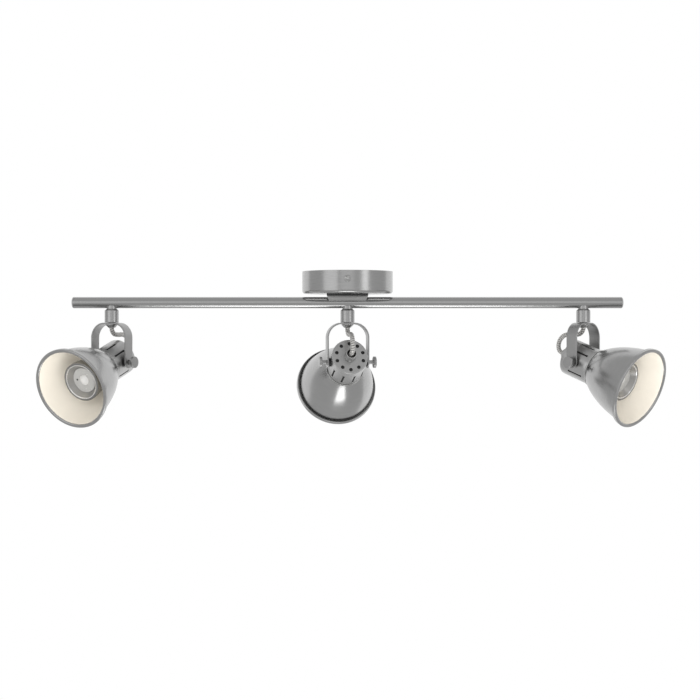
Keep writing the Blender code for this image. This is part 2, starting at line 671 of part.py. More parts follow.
mounting_strap()
canopy()
canopy_screw("canopy_screw_front", -1)
canopy_screw("canopy_screw_back", 1)
earth_screw()
terminal_block()
saddle_and_gasket()
saddle_nipple_and_nut()
bar_tube()
end_cap("end_cap_left", -1)
end_cap("end_cap_right", 1)
bar_wiring()
for spot_label, (spot_x, spot_yaw) in SPOTS.items():
    spot(spot_label, spot_x, spot_yaw)
bpy.context.view_layer.update()
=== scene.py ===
"""Ceiling spotlight bar: satin nickel canopy, tube and three bell-shaped lamp heads."""
import json
import math

import bmesh
import bpy
import numpy as np
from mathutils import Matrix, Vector

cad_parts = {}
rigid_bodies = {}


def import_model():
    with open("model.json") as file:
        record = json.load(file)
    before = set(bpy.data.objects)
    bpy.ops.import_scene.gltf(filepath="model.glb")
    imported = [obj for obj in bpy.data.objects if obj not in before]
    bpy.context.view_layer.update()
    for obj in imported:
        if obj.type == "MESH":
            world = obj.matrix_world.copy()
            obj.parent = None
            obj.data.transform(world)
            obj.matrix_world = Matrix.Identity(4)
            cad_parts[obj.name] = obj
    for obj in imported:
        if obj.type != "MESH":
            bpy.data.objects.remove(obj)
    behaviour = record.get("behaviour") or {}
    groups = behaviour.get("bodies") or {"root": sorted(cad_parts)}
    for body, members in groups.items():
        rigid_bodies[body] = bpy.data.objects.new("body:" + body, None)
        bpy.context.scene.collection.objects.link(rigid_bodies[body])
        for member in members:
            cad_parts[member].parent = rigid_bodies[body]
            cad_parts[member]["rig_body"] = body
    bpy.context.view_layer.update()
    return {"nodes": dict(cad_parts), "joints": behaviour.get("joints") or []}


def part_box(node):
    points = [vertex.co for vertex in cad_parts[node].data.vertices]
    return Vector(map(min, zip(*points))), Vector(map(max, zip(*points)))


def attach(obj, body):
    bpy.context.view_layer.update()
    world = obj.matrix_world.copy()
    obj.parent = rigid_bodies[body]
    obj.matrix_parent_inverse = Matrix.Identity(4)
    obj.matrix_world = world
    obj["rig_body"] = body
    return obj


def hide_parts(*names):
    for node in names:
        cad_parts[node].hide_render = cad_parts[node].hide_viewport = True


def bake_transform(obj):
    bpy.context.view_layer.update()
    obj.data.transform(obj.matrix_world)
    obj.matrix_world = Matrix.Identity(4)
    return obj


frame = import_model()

MM = 0.001
TAU = 2 * math.pi

# Sizes in millimetres, in each piece's own axes.
CANOPY_WALL, CANOPY_CORNER = 1.0, 3.0
STRAP_THICKNESS = 2.0
NIPPLE_HOLE = 4.3
TUBE_WALL, CAP_DOME = 1.0, 2.9
SADDLE_FOOT = 39.4
STEM_RADIUS, NECK_RADIUS = 7.5, 5.5
YOKE_THICKNESS, YOKE_WIDTH, YOKE_CORNER = 1.5, 12.6, 16.0
YOKE_HALF_SPAN = 22.5
LEAD_RADIUS, LEAD_RIB = 2.5, 2.2
CAN_RADIUS, CAN_WALL, CAN_CORNER = 19.2, 1.0, 0.8
CAN_BACK, CAN_FRONT = -16.4, 16.3
VENTS, VENT_RADIUS, VENT_RING = 10, 1.95, 14.6
SLOT_BACK, SLOT_FRONT = -5.5, 12.5
SHADE_BACK, SHADE_MOUTH, SHADE_RADIUS, SHADE_WALL = 18.7, 76.4, 43.8, 1.0
HEM_WIDTH, HEM_DEPTH, HEM_LIP = 3.7, 6.9, 1.8
LAMP_FRONT, LAMP_RADIUS = 57.0, 21.2
KNOB_RADIUS, KNOB_INNER, KNOB_OUTER = 6.1, 27.8, 30.6
SPOTS = ("left", "centre", "right")
# Points round a turned piece and round a screw head; then how far a screw head's dome falls, and its
# edge rolls off, as shares of its depth.
STEPS, HEAD_STEPS = 144, 160
DOME_FALL, EDGE_ROLL = 0.28, 0.28
HEAD_EDGE = 1 - DOME_FALL - EDGE_ROLL

JOINTS = {joint["name"]: joint for joint in frame["joints"]}


def low(node):
    """Lowest corner of a node of the frame, in millimetres."""
    return np.array(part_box(node)[0]) / MM


def high(node):
    """Highest corner of a node of the frame, in millimetres."""
    return np.array(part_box(node)[1]) / MM


def middle(node):
    """Middle of a node's box, in millimetres."""
    return (low(node) + high(node)) / 2


# ---------------------------------------------------------------- seats: where a piece's own axes lie

class Seat:
    """Origin and axes of a piece: its Z is the axis it turns about, or its up."""

    def __init__(self, origin, x_axis, z_axis):
        z = np.array(z_axis, float) / np.linalg.norm(z_axis)
        x = np.array(x_axis, float) - np.dot(x_axis, z) * z
        x /= np.linalg.norm(x)
        self.origin = np.array(origin, float)
        self.axes = np.array([x, np.cross(z, x), z])

    def place(self, points):
        """Origin plus each coordinate times its axis."""
        return self.origin + np.asarray(points) @ self.axes

    def point(self, x, y, z):
        return self.place(np.array([x, y, z]))


def head_seat(spot):
    """Z along the beam, X along the tilt axis, origin on the pivot."""
    tilt = JOINTS[f"tilt_{spot}"]
    return Seat(np.array(tilt["pos_m"]) / MM, tilt["axis"], JOINTS[f"lamp_twist_{spot}"]["axis"])


def yoke_seat(spot):
    """Z up, X along the tilt axis, Y behind the stem, origin level with the ceiling."""
    tilt = JOINTS[f"tilt_{spot}"]
    return Seat((tilt["pos_m"][0] / MM, tilt["pos_m"][1] / MM, 0), tilt["axis"], (0, 0, 1))


def upright(x=0.0, y=0.0, z=0.0):
    """Seat with the frame's own axes."""
    return Seat((x, y, z), (1, 0, 0), (0, 0, 1))


CEILING = upright()


# ---------------------------------------------------------------- surfaces as arrays

def grid(points, wrap_rows=False, wrap_columns=False):
    """Quads between neighbouring rows and columns of a (rows, columns, 3) array of points."""
    rows, columns = points.shape[:2]
    index = np.arange(rows * columns).reshape(rows, columns)
    if wrap_rows:
        index = np.vstack([index, index[:1]])
    if wrap_columns:
        index = np.hstack([index, index[:, :1]])
    corners = (index[:-1, :-1], index[:-1, 1:], index[1:, 1:], index[1:, :-1])
    return points.reshape(-1, 3), np.stack(corners, -1).reshape(-1, 4)


def lathe_grain(points):
    """Polishing lines run round the axis: they change with height plus radius."""
    across = points[:, 2] + np.hypot(points[:, 0], points[:, 1])
    return np.column_stack([points[:, 0], points[:, 1], across])


def lengthwise_grain(points):
    """Polishing lines run along X: they change with Y and Z."""
    return np.column_stack([points[:, 0], 0.2 * points[:, 2], points[:, 1] + points[:, 2]])


def rounded(corners, steps=5, margin=0.25):
    """Outline through (x, y, radius) corners: each corner is an arc tangent to both sides,
    and each straight side gets a point near both its ends, which keeps its shading flat."""
    count = len(corners)
    points = []
    for number in range(count):
        here = np.array(corners[number][:2], float)
        radius = corners[number][2] if len(corners[number]) > 2 else 0
        before = np.array(corners[number - 1][:2], float)
        after = np.array(corners[(number + 1) % count][:2], float)
        back, ahead = before - here, after - here
        reach_back, reach_ahead = np.linalg.norm(back), np.linalg.norm(ahead)
        back, ahead = back / reach_back, ahead / reach_ahead
        half = 0.5 * math.acos(np.clip(np.dot(back, ahead), -1, 1))
        setback = min(radius / math.tan(half), 0.48 * reach_back, 0.48 * reach_ahead) if radius else 0
        if reach_back > 2 * setback + 3 * margin:
            points.append(here + back * (setback + margin))
        if setback:
            size = setback * math.tan(half)
            centre = here + (back + ahead) / np.linalg.norm(back + ahead) * size / math.sin(half)
            start, end = here + back * setback - centre, here + ahead * setback - centre
            sweep = math.pi - 2 * half
            share = np.linspace(0, 1, steps + 1)[:, None]
            turn = (np.sin((1 - share) * sweep) * start + np.sin(share * sweep) * end) / math.sin(sweep)
            points += list(centre + turn)
        else:
            points.append(here)
        if reach_ahead > 2 * setback + 3 * margin:
            points.append(here + ahead * (setback + margin))
    return np.array(points)


def full_turn(steps):
    """Angles of the steps of one turn."""
    return np.arange(steps) / steps * TAU


def circles(radius, angle, height):
    """Points at a radius, an angle and a height."""
    return np.stack([radius * np.cos(angle), radius * np.sin(angle), height + 0 * angle], -1)


def lathe_sheet(points, wrap_rows=False, wrap_columns=True):
    """Quads and grain of a sheet of points that is polished round its axis."""
    verts, quads = grid(points, wrap_rows, wrap_columns)
    return verts, quads, lathe_grain(verts)


def turned(profile, closed=True, steps=STEPS):
    """Surface of a lathe: each (radius, height) of the profile carried round the axis."""
    profile = np.asarray(profile, float)
    return lathe_sheet(circles(profile[:, :1], full_turn(steps), profile[:, 1:2]), closed)


def solid_outline(corners, steps=4):
    """Rounded half section of a solid piece, which starts and ends on the axis."""
    return np.vstack([corners[0][:2], rounded(corners, steps)[1:-1], corners[-1][:2]])


def bell_curve(start, control, end, steps):
    """Quadratic curve from start to end, drawn towards the control point."""
    share = np.linspace(0, 1, steps + 1)[:, None]
    start, control, end = np.array(start), np.array(control), np.array(end)
    return (1 - share) ** 2 * start + 2 * share * (1 - share) * control + share ** 2 * end


def joined(shapes):
    """Several surfaces as one list of points, quads and grain."""
    offsets = np.cumsum([0] + [len(shape[0]) for shape in shapes[:-1]])
    points = np.vstack([shape[0] for shape in shapes])
    quads = np.vstack([shape[1] + offset for shape, offset in zip(shapes, offsets)])
    return points, quads, np.vstack([shape[2] for shape in shapes])


def welded_mesh(name, points, quads, grain, step=0.002):
    """Mesh in which points closer than the step are one, and collapsed quads are triangles."""
    keys = np.round(points / step).astype(np.int64)
    _, first, inverse = np.unique(keys, axis=0, return_index=True, return_inverse=True)
    quads = inverse.reshape(-1)[quads]
    points, grain = points[first], grain[first]
    keep = quads != np.roll(quads, -1, axis=1)
    sides = keep.sum(1)
    quads, keep, sides = quads[sides >= 3], keep[sides >= 3], sides[sides >= 3]
    loops = quads[keep]
    starts = np.concatenate([[0], np.cumsum(sides)[:-1]])
    mesh = bpy.data.meshes.new(name)
    mesh.vertices.add(len(points))
    mesh.vertices.foreach_set("co", (points * MM).astype(np.float32).ravel())
    mesh.loops.add(len(loops))
    mesh.loops.foreach_set("vertex_index", loops.astype(np.int32))
    mesh.polygons.add(len(starts))
    mesh.polygons.foreach_set("loop_start", starts.astype(np.int32))
    mesh.update(calc_edges=True)
    brush = mesh.attributes.new("grain", "FLOAT_VECTOR", "POINT")
    brush.data.foreach_set("vector", grain.astype(np.float32).ravel())
    return mesh


def face_outwards(mesh, several, centre):
    """Makes the faces of several surfaces agree, then turns them all if they look inwards."""
    shape = bmesh.new()
    shape.from_mesh(mesh)
    if several:
        bmesh.ops.recalc_face_normals(shape, faces=shape.faces)
    centre = Vector(centre) * MM
    outward = sum((face.calc_center_median() - centre).dot(face.normal) * face.calc_area()
                  for face in shape.faces)
    if outward < 0:
        bmesh.ops.reverse_faces(shape, faces=shape.faces)
    shape.to_mesh(mesh)
    shape.free()


def new_object(name, data):
    """Object in the scene, at the origin."""
    obj = bpy.data.objects.new(name, data)
    bpy.context.scene.collection.objects.link(obj)
    return obj


def modify(obj, kind, **settings):
    """Adds a modifier with its settings."""
    modifier = obj.modifiers.new(kind.lower(), kind)
    for key, value in settings.items():
        setattr(modifier, key, value)


def piece(name, node, shape, seat, finish, wall=0.0, offset=-1, edge=0.0, edge_steps=2, sharp=38,
          slot=None, replaces=True, blend=None):
    """One finished piece: surface, wall and rounded edges, with its finish and body. The slot argument is
    not used.
    """
    several = isinstance(shape, list)
    points, quads, grain = joined(shape) if several else shape
    mesh = welded_mesh(name, seat.place(points), quads, grain)
    face_outwards(mesh, several, seat.origin)
    obj = new_object(name, mesh)
    if wall:
        modify(obj, "SOLIDIFY", thickness=wall * MM, offset=offset, use_even_offset=True)
    if edge:
        modify(obj, "BEVEL", width=edge * MM, segments=edge_steps, limit_method="ANGLE",
               angle_limit=math.radians(50), use_clamp_overlap=True)
    if wall or edge:
        bpy.context.view_layer.update()
        ready = obj.evaluated_get(bpy.context.evaluated_depsgraph_get())
        mesh = bpy.data.meshes.new_from_object(ready)
        obj.modifiers.clear()
        obj.data = mesh
        mesh.name = name
    mesh.polygons.foreach_set("use_smooth", np.ones(len(mesh.polygons), bool))
    mesh.set_sharp_from_angle(angle=math.radians(sharp))
    mesh.materials.clear()
    mesh.materials.append(finish)
    if blend:
        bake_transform(obj)
    else:
        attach(obj, frame["nodes"][node]["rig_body"])
    if replaces:
        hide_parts(node)


def lathed(name, node, profile, seat, finish, steps=96, closed=True, sharp=50, **rest):
    """Piece turned on a lathe from its half section."""
    piece(name, node, turned(profile, closed, steps), seat, finish, sharp=sharp, **rest)


# ---------------------------------------------------------------- effects shared by the finishes

def add(tree, kind, settings=None, **sockets):
    """Adds a node; a socket's value is a plain value or another node's output."""
    node = tree.nodes.new(kind)
    for key, value in (settings or {}).items():
        setattr(node, key, value)
    for key, value in sockets.items():
        number = int(key[1:]) if key[0] == "i" and key[1:].isdigit() else key.replace("_", " ")
        socket = node.inputs[number]
        if isinstance(value, bpy.types.NodeSocket):
            tree.links.new(value, socket)
        else:
            socket.default_value = value
    return node


def new_group(name, inputs, outputs):
    """Empty node group with named sockets; returns its tree, input node and output node."""
    tree = bpy.data.node_groups.new(name, "ShaderNodeTree")
    for label, value in inputs.items():
        kind = "NodeSocketColor" if isinstance(value, tuple) else "NodeSocketFloat"
        tree.interface.new_socket(label, in_out="INPUT", socket_type=kind).default_value = value
    for label, kind in outputs.items():
        tree.interface.new_socket(label, in_out="OUTPUT", socket_type=f"NodeSocket{kind}")
    return tree, tree.nodes.new("NodeGroupInput"), tree.nodes.new("NodeGroupOutput")


def feed(tree, node, **outputs):
    """Links other nodes' outputs to a node's named inputs."""
    for key, output in outputs.items():
        tree.links.new(output, node.inputs[key.replace("_", " ")])


def reckon(tree, operation, *values, **settings):
    """Arithmetic on plain values and outputs; returns the result's output."""
    return add(tree, "ShaderNodeMath", {"operation": operation, **settings},
               **{f"i{number}": value for number, value in enumerate(values)}).outputs[0]


def noise(tree, place, scale, detail, rough):
    """Cloudy noise over a place; returns its output."""
    return add(tree, "ShaderNodeTexNoise", Vector=place, Scale=scale, Detail=detail,
               Roughness=rough).outputs[0]


def polishing_lines():
    """Fine hairlines: noise squeezed across the brushing direction, smooth along it."""
    tree, given, out = new_group("polishing_lines", {"Fineness": 6.0, "Cloud": 0.08},
                                 {"Lines": "Float", "Clouds": "Float"})
    place = add(tree, "ShaderNodeAttribute", {"attribute_name": "grain"}).outputs["Vector"]
    parts = add(tree, "ShaderNodeSeparateXYZ", i0=place).outputs
    squeezed = add(tree, "ShaderNodeCombineXYZ", i0=reckon(tree, "MULTIPLY", parts[0], 0.09),
                   i1=reckon(tree, "MULTIPLY", parts[1], 0.09),
                   i2=reckon(tree, "MULTIPLY", parts[2], given.outputs["Fineness"]))
    feed(tree, out, Lines=noise(tree, squeezed.outputs[0], 1.0, 3.0, 0.65),
         Clouds=noise(tree, place, given.outputs["Cloud"], 2.0, 0.5))
    return tree


def fine_grain():
    """Even, very fine pits and specks, as on blasted metal, moulded plastic or enamel."""
    tree, given, out = new_group("fine_grain", {"Size": 0.5}, {"Grain": "Float", "Patches": "Float"})
    place = add(tree, "ShaderNodeTexCoord").outputs["Object"]
    scale = reckon(tree, "DIVIDE", 1000.0, given.outputs["Size"])
    feed(tree, out, Grain=noise(tree, place, scale, 2.0, 0.6), Patches=noise(tree, place, 60.0, 3.0, 0.55))
    return tree


def tint_by_mask():
    """Mixes a dark and a light shade of one colour by a mask around one half."""
    tree, given, out = new_group("tint_by_mask", {"Mask": 0.5, "Dark": (0.4, 0.4, 0.4, 1),
                                                  "Light": (0.6, 0.6, 0.6, 1), "Contrast": 1.0},
                                 {"Colour": "Color"})
    given = given.outputs
    centred = reckon(tree, "SUBTRACT", given["Mask"], 0.5)
    wide = reckon(tree, "MULTIPLY_ADD", centred, given["Contrast"], 0.5, use_clamp=True)
    mixed = add(tree, "ShaderNodeMix", {"data_type": "RGBA"}, i0=wide, i6=given["Dark"], i7=given["Light"])
    feed(tree, out, Colour=mixed.outputs[2])
    return tree


def gloss_range():
    """Roughness that wanders between two values with a mask."""
    tree, given, out = new_group("gloss_range", {"Mask": 0.5, "From": 0.25, "To": 0.35},
                                 {"Roughness": "Float"})
    ranged = add(tree, "ShaderNodeMapRange", i0=given.outputs["Mask"], i1=0.3, i2=0.7,
                 i3=given.outputs["From"], i4=given.outputs["To"])
    feed(tree, out, Roughness=ranged.outputs[0])
    return tree


LINES, GRAIN, TINT, GLOSS = polishing_lines(), fine_grain(), tint_by_mask(), gloss_range()


# ---------------------------------------------------------------- finishes

def shades_of(colour, spread):
    """A darker and a lighter version of a colour."""
    return (tuple(c * (1 - spread) for c in colour) + (1,),
            tuple(min(1, c * (1 + spread)) for c in colour) + (1,))


def new_finish(name, **sockets):
    """Material with a Principled shader and its constant values."""
    finish = bpy.data.materials.new(name)
    finish.use_nodes = True
    shader = finish.node_tree.nodes["Principled BSDF"]
    for key, value in sockets.items():
        shader.inputs[key.replace("_", " ")].default_value = value
    return finish, finish.node_tree, shader


def effect(tree, group, **values):
    """Places a shared effect in a material; returns its outputs."""
    return add(tree, "ShaderNodeGroup", {"node_tree": group}, **values).outputs


def dress(tree, shader, mask, colour, spread, contrast, gloss_mask, gloss, relief, depth):
    """Feeds a shader's colour, roughness and relief from the shared effects."""
    dark, light = shades_of(colour, spread)
    tint = effect(tree, TINT, Mask=mask, Dark=dark, Light=light, Contrast=contrast)
    shine = effect(tree, GLOSS, Mask=gloss_mask, From=gloss[0], To=gloss[1])
    bump = add(tree, "ShaderNodeBump", Strength=1.0, Distance=depth * MM, Height=relief)
    feed(tree, shader, Base_Color=tint[0], Roughness=shine[0], Normal=bump.outputs[0])


def brushed_metal(name, colour, gloss, fineness=6.0, spread=0.1, depth=0.006):
    """Metal with hairlines that tint it, roughen it and stand in slight relief."""
    finish, tree, shader = new_finish(name, Metallic=1.0)
    brush = effect(tree, LINES, Fineness=fineness, Cloud=0.06)
    dress(tree, shader, brush["Lines"], colour, spread, 1.5, brush["Clouds"], gloss, brush["Lines"], depth)
    return finish


def grained_finish(name, colour, gloss, size=0.5, spread=0.06, depth=0.01, contrast=1.6, **sockets):
    """Fine even grain in relief, with slow patches of tint and gloss."""
    finish, tree, shader = new_finish(name, **sockets)
    grain = effect(tree, GRAIN, Size=size)
    dress(tree, shader, grain["Patches"], colour, spread, contrast, grain["Patches"], gloss,
          grain["Grain"], depth)
    return finish


def zinc_finish():
    """Zinc plate: faint crystal patches over a grey base."""
    finish, tree, shader = new_finish("zinc_plate", Metallic=1.0)
    place = add(tree, "ShaderNodeTexCoord")
    crystals = add(tree, "ShaderNodeTexVoronoi", Vector=place.outputs["Object"], Scale=450.0)
    tone = add(tree, "ShaderNodeRGBToBW", i0=crystals.outputs["Color"]).outputs[0]
    dress(tree, shader, tone, (0.55, 0.56, 0.58), 0.12, 1.0, tone, (0.34, 0.46),
          crystals.outputs["Distance"], 0.01)
    return finish


def sleeve_finish():
    """Braided sleeve: painted shade, darker in the grooves between the ribs and lighter on their crowns, and
    loose flecks in the yarn.
    """
    finish, tree, shader = new_finish("woven_sleeve", Metallic=0.75)
    relief = add(tree, "ShaderNodeAttribute", {"attribute_name": "grain"})
    parts = add(tree, "ShaderNodeSeparateXYZ", i0=relief.outputs["Vector"])
    grain = effect(tree, GRAIN, Size=0.35)
    flecks = reckon(tree, "MULTIPLY_ADD", grain["Grain"], 0.5, -0.25)
    # Tint follows the rib height: painted shade, darker in the grooves and lighter on the crowns.
    height = reckon(tree, "ADD", parts.outputs[2], flecks)
    dress(tree, shader, height, (0.3, 0.295, 0.285), 0.92, 1.5, grain["Patches"], (0.32, 0.42),
          grain["Grain"], 0.02)
    return finish


def frosted_glass(name, colour, gloss):
    """Frosted front glass with a faint cloudiness."""
    return grained_finish(name, colour, gloss, size=0.4, spread=0.05, depth=0.006, contrast=1.0,
                          Metallic=0.0, Transmission_Weight=0.2, IOR=1.49)


NICKEL = brushed_metal("satin_nickel", (0.41, 0.41, 0.408), (0.27, 0.34))
NICKEL_DRAWN = brushed_metal("drawn_nickel", (0.42, 0.42, 0.418), (0.17, 0.22), spread=0.07, depth=0.0012)
NICKEL_SPUN = brushed_metal("spun_nickel", (0.41, 0.41, 0.408), (0.21, 0.27), 4.0, 0.17, 0.004)
# Lighter copy of the satin nickel for the can: painted light that brightens it.
NICKEL_CAN_PAINTED_LIGHT = brushed_metal("can_nickel_painted_light", (0.47, 0.47, 0.467), (0.28, 0.36), 5.0)
NICKEL_BRIGHT = brushed_metal("bright_nickel", (0.5, 0.5, 0.495), (0.16, 0.22), spread=0.05)
NICKEL_BLASTED = brushed_metal("strip_nickel", (0.38, 0.38, 0.378), (0.32, 0.4), 5.0)
CREAM = grained_finish("cream_enamel", (0.86, 0.81, 0.72), (0.3, 0.38), 1.2, 0.02, Metallic=0.0,
                       Coat_Weight=0.25, Coat_Roughness=0.2)
BLACK_RUBBER = grained_finish("black_moulding", (0.018, 0.018, 0.019), (0.42, 0.55), 0.4, Metallic=0.0)
# Black matt: the lens's gate mark, and the painted shadow sheet inside each can.
BLACK_MATT = grained_finish("black_gate_and_painted_shadow", (0.012, 0.012, 0.012), (0.7, 0.8), 0.8, Metallic=0.0)
WHITE_MOULDING = grained_finish("white_moulding", (0.8, 0.79, 0.76), (0.36, 0.46), 0.6, 0.03, Metallic=0.0)
CERAMIC = grained_finish("glazed_ceramic", (0.86, 0.84, 0.8), (0.12, 0.2), 1.5, 0.04, Metallic=0.0,
                         Coat_Weight=0.5, Coat_Roughness=0.08)
BRASS = brushed_metal("turned_brass", (0.72, 0.53, 0.25), (0.24, 0.34), 8.0)
LAMP_METAL = brushed_metal("lamp_aluminium", (0.26, 0.26, 0.258), (0.3, 0.38), 3.0, 0.08)
LAMP_BRIGHT = brushed_metal("reflector_aluminium", (0.8, 0.8, 0.8), (0.1, 0.16), 5.0, 0.03)
LAMP_CONE = grained_finish("reflector_cone", (0.33, 0.325, 0.315), (0.3, 0.4), 0.8, Metallic=0.7)
ZINC = zinc_finish()
SLEEVE = sleeve_finish()
LENS = frosted_glass("frosted_lens", (0.42, 0.415, 0.4), (0.18, 0.3))
LENS_DOME = frosted_glass("frosted_dome", (0.64, 0.635, 0.62), (0.06, 0.12))


# ---------------------------------------------------------------- shapes with holes

def outline_box(x_low, x_high, y_half, along, across):
    """Rectangle as a closed run of points, the same number on facing sides."""
    share_x, share_y = np.arange(along) / along, np.arange(across) / across
    width, height = x_high - x_low, 2 * y_half
    return np.vstack([
        np.column_stack([x_low + width * share_x, np.full(along, -y_half)]),
        np.column_stack([np.full(across, x_high), -y_half + height * share_y]),
        np.column_stack([x_high - width * share_x, np.full(along, y_half)]),
        np.column_stack([np.full(across, x_low), y_half - height * share_y])])


def slot_outline(outline, centre, reach, radius):
    """Round-ended slot seen from its centre: each outline point moves along its ray to the slot's edge."""
    ray = outline - centre
    ray = ray / np.linalg.norm(ray, axis=1, keepdims=True)
    along, across = np.abs(ray[:, 0]), np.maximum(np.abs(ray[:, 1]), 1e-9)
    side = radius / across
    end = reach * along + np.sqrt(np.maximum(radius ** 2 - (reach * across) ** 2, 0))
    return centre + ray * np.where(side * along <= reach, side, end)[:, None]


def ring_between(inner, outer, rows=5, crowd=1.6):
    """Rows of points from a hole's edge to the outline round it, closer together at the hole."""
    share = (np.linspace(0, 1, rows) ** crowd)[:, None, None]
    return (1 - share) * inner + share * outer


def flat_grid(x_low, x_high, y_half, along, across):
    """Plain rectangle of rows along X and columns across Y."""
    x, y = np.meshgrid(np.linspace(x_low, x_high, along + 1), np.linspace(-y_half, y_half, across + 1),
                       indexing="ij")
    return np.stack([x, y], -1)


def bent(sheets, fold):
    """Lays flat (distance along the strip, across) sheets on a bent path; they polish lengthwise."""
    shapes = []
    for points, wrap in sheets:
        along, across = points[..., 0], points[..., 1]
        x, z = fold(along)
        grain = np.column_stack([along.ravel(), 0 * across.ravel(), across.ravel()])
        shapes.append((*grid(np.stack([x, across, z], -1), False, wrap), grain))
    return shapes


def u_fold(half_flat, bend, top, turn=math.pi / 2):
    """Path of an upside-down U: flat top, quarter bends, straight legs."""
    def fold(along):
        size, side = np.abs(along), np.where(along < 0, -1.0, 1.0)
        angle = np.clip((size - half_flat) / bend, 0, turn)
        leg = np.maximum(size - half_flat - bend * turn, 0)
        x = np.minimum(size, half_flat) + bend * np.sin(angle)
        return side * x, top - bend * (1 - np.cos(angle)) - leg
    return fold


def strip_sheets(half_flat, bend, hole_at, end_at, half_width, top_panels, hole_radius, round_end):
    """Flat pattern of a U strip: top panels with their holes, bends, legs, and ends with a hole."""
    across, panel_margin = 12, 1.76
    sheets, start = list(top_panels), half_flat + bend * math.pi / 2
    near = hole_at - (half_width if round_end else panel_margin * hole_radius)
    for side in (-1, 1):
        flip = np.array([side, 1.0])
        sheets.append((flat_grid(half_flat, start, half_width, 24, across) * flip, False))
        if near > start:
            sheets.append((flat_grid(start, near, half_width, 8, across) * flip, False))
        centre = np.array([hole_at, 0.0])
        if round_end:
            edge = np.linspace(-math.pi / 2, math.pi / 2, 25)[:-1]
            cap = centre + half_width * np.column_stack([np.cos(edge), np.sin(edge)])
            box = outline_box(near, hole_at, half_width, 6, across)
            outline = np.vstack([box[:6], cap, box[6 + across:]])
        else:
            outline = outline_box(near, end_at, half_width, 10, across)
        hole = slot_outline(outline, centre, 0, hole_radius)
        sheets.append((ring_between(hole, outline) * flip, True))
    return sheets


# ---------------------------------------------------------------- canopy and bar

def canopy():
    """Spun cup: flat floor, rounded corner, straight wall with a turned-smooth lip."""
    lower, upper = low("canopy"), high("canopy")
    radius, top, floor = (upper[0] - lower[0]) / 2, upper[2], lower[2]
    inside, sill = radius - CANOPY_WALL, floor + CANOPY_WALL
    profile = rounded([(radius, top, 0.3), (radius, floor, CANOPY_CORNER), (NIPPLE_HOLE, floor, 0.2),
                       (NIPPLE_HOLE, sill, 0.2), (inside, sill, CANOPY_CORNER - CANOPY_WALL),
                       (inside, top, 0.3)], steps=8)
    lathed("canopy_cup", "canopy", profile, CEILING, NICKEL_SPUN, steps=192)


def cross_head(radius, depth, blade=0.45, reach=2.0, drop=1.3, turn=25):
    """Domed screw head with a cross recess: height is the dome less a cross-shaped dip."""
    rho = np.linspace(0, 1, 44) ** 0.9 * radius
    rho, angle = np.meshgrid(rho, full_turn(HEAD_STEPS), indexing="ij")
    x, y, share = rho * np.cos(angle), rho * np.sin(angle), rho / radius
    roll = (np.clip(share - 0.8, 0, 1) / 0.2) ** 2
    height = depth * (1 - DOME_FALL * share ** 2 - EDGE_ROLL * roll)
    a = math.radians(turn)
    across, along = x * math.cos(a) + y * math.sin(a), y * math.cos(a) - x * math.sin(a)

    def bar(one, two):
        side = np.clip((blade - np.abs(one)) / 0.14 + 0.5, 0, 1)
        return side * np.clip((reach - np.abs(two)) / 0.5, 0, 1)
    dip = np.maximum(bar(across, along), bar(along, across))
    height = height - drop * dip * np.clip(height / 0.3, 0, 1)
    return lathe_sheet(np.stack([x, y, height], -1))


def thread_rows(radius, pitch, depth, low_z, high_z, steps=48):
    """Screw thread: radius less a triangle wave of height over pitch less angle over a turn."""
    z = np.linspace(low_z, high_z, max(4, int((high_z - low_z) / pitch * 8)))
    z, angle = np.meshgrid(z, full_turn(steps), indexing="ij")
    phase = z / pitch - angle / TAU
    fade = np.clip(np.minimum(z - low_z, high_z - z) / pitch, 0, 1)
    return circles(radius - depth * fade * np.abs(2 * (phase - np.floor(phase)) - 1), angle, z)


def ring_row(radius, height, steps=48):
    """One circle of points, as a row of a lathe surface."""
    return circles(radius, full_turn(steps), height)[None]


def screw(name, node, seat, finish, head_radius, head_depth, shank, length, **cross):
    """Cross-head screw: domed head, flat underside and a threaded shank with a blunt tip."""
    head = cross_head(head_radius, head_depth, **cross)
    under = turned([(head_radius, head_depth * HEAD_EDGE), (head_radius, 0.15), (head_radius - 0.15, 0),
                    (shank, 0)], closed=False, steps=HEAD_STEPS)
    tip = -length - 0.3
    rows = np.vstack([ring_row(shank, 0), thread_rows(shank, 0.7, 0.3, -length, 0)[::-1],
                      ring_row(0.5 * shank, tip), ring_row(0, tip)])
    piece(name, node, [head, under, lathe_sheet(rows)], seat, finish)


def canopy_screws():
    """A cross-head screw in the canopy's wall, front and back."""
    wall = (high("canopy")[1] - low("canopy")[1]) / 2
    for side, word in ((-1, "front"), (1, "back")):
        node = f"canopy_screw_{word}"
        centre = middle(node)
        seat = Seat((centre[0], side * (wall + 0.15), centre[2]), (1, 0, 0), (0, side, 0))
        screw(f"side_screw_{word}", node, seat, NICKEL_BRIGHT, 3.5, 2.2, 1.95, 7.6, blade=0.62, reach=2.3,
              drop=1.9)


def earth_screw():
    """Brass screw under the strap's top, its head looking down."""
    centre, ear, sunk = middle("earth_screw"), 14.0, 0.3
    seat = Seat((centre[0], centre[1], low("mounting_strap")[2] + ear - sunk), (1, 0, 0), (0, 0, -1))
    screw("earth_terminal_screw", "earth_screw", seat, BRASS, 3.0, 2.0, 1.7, 1.6, turn=10, reach=1.7)

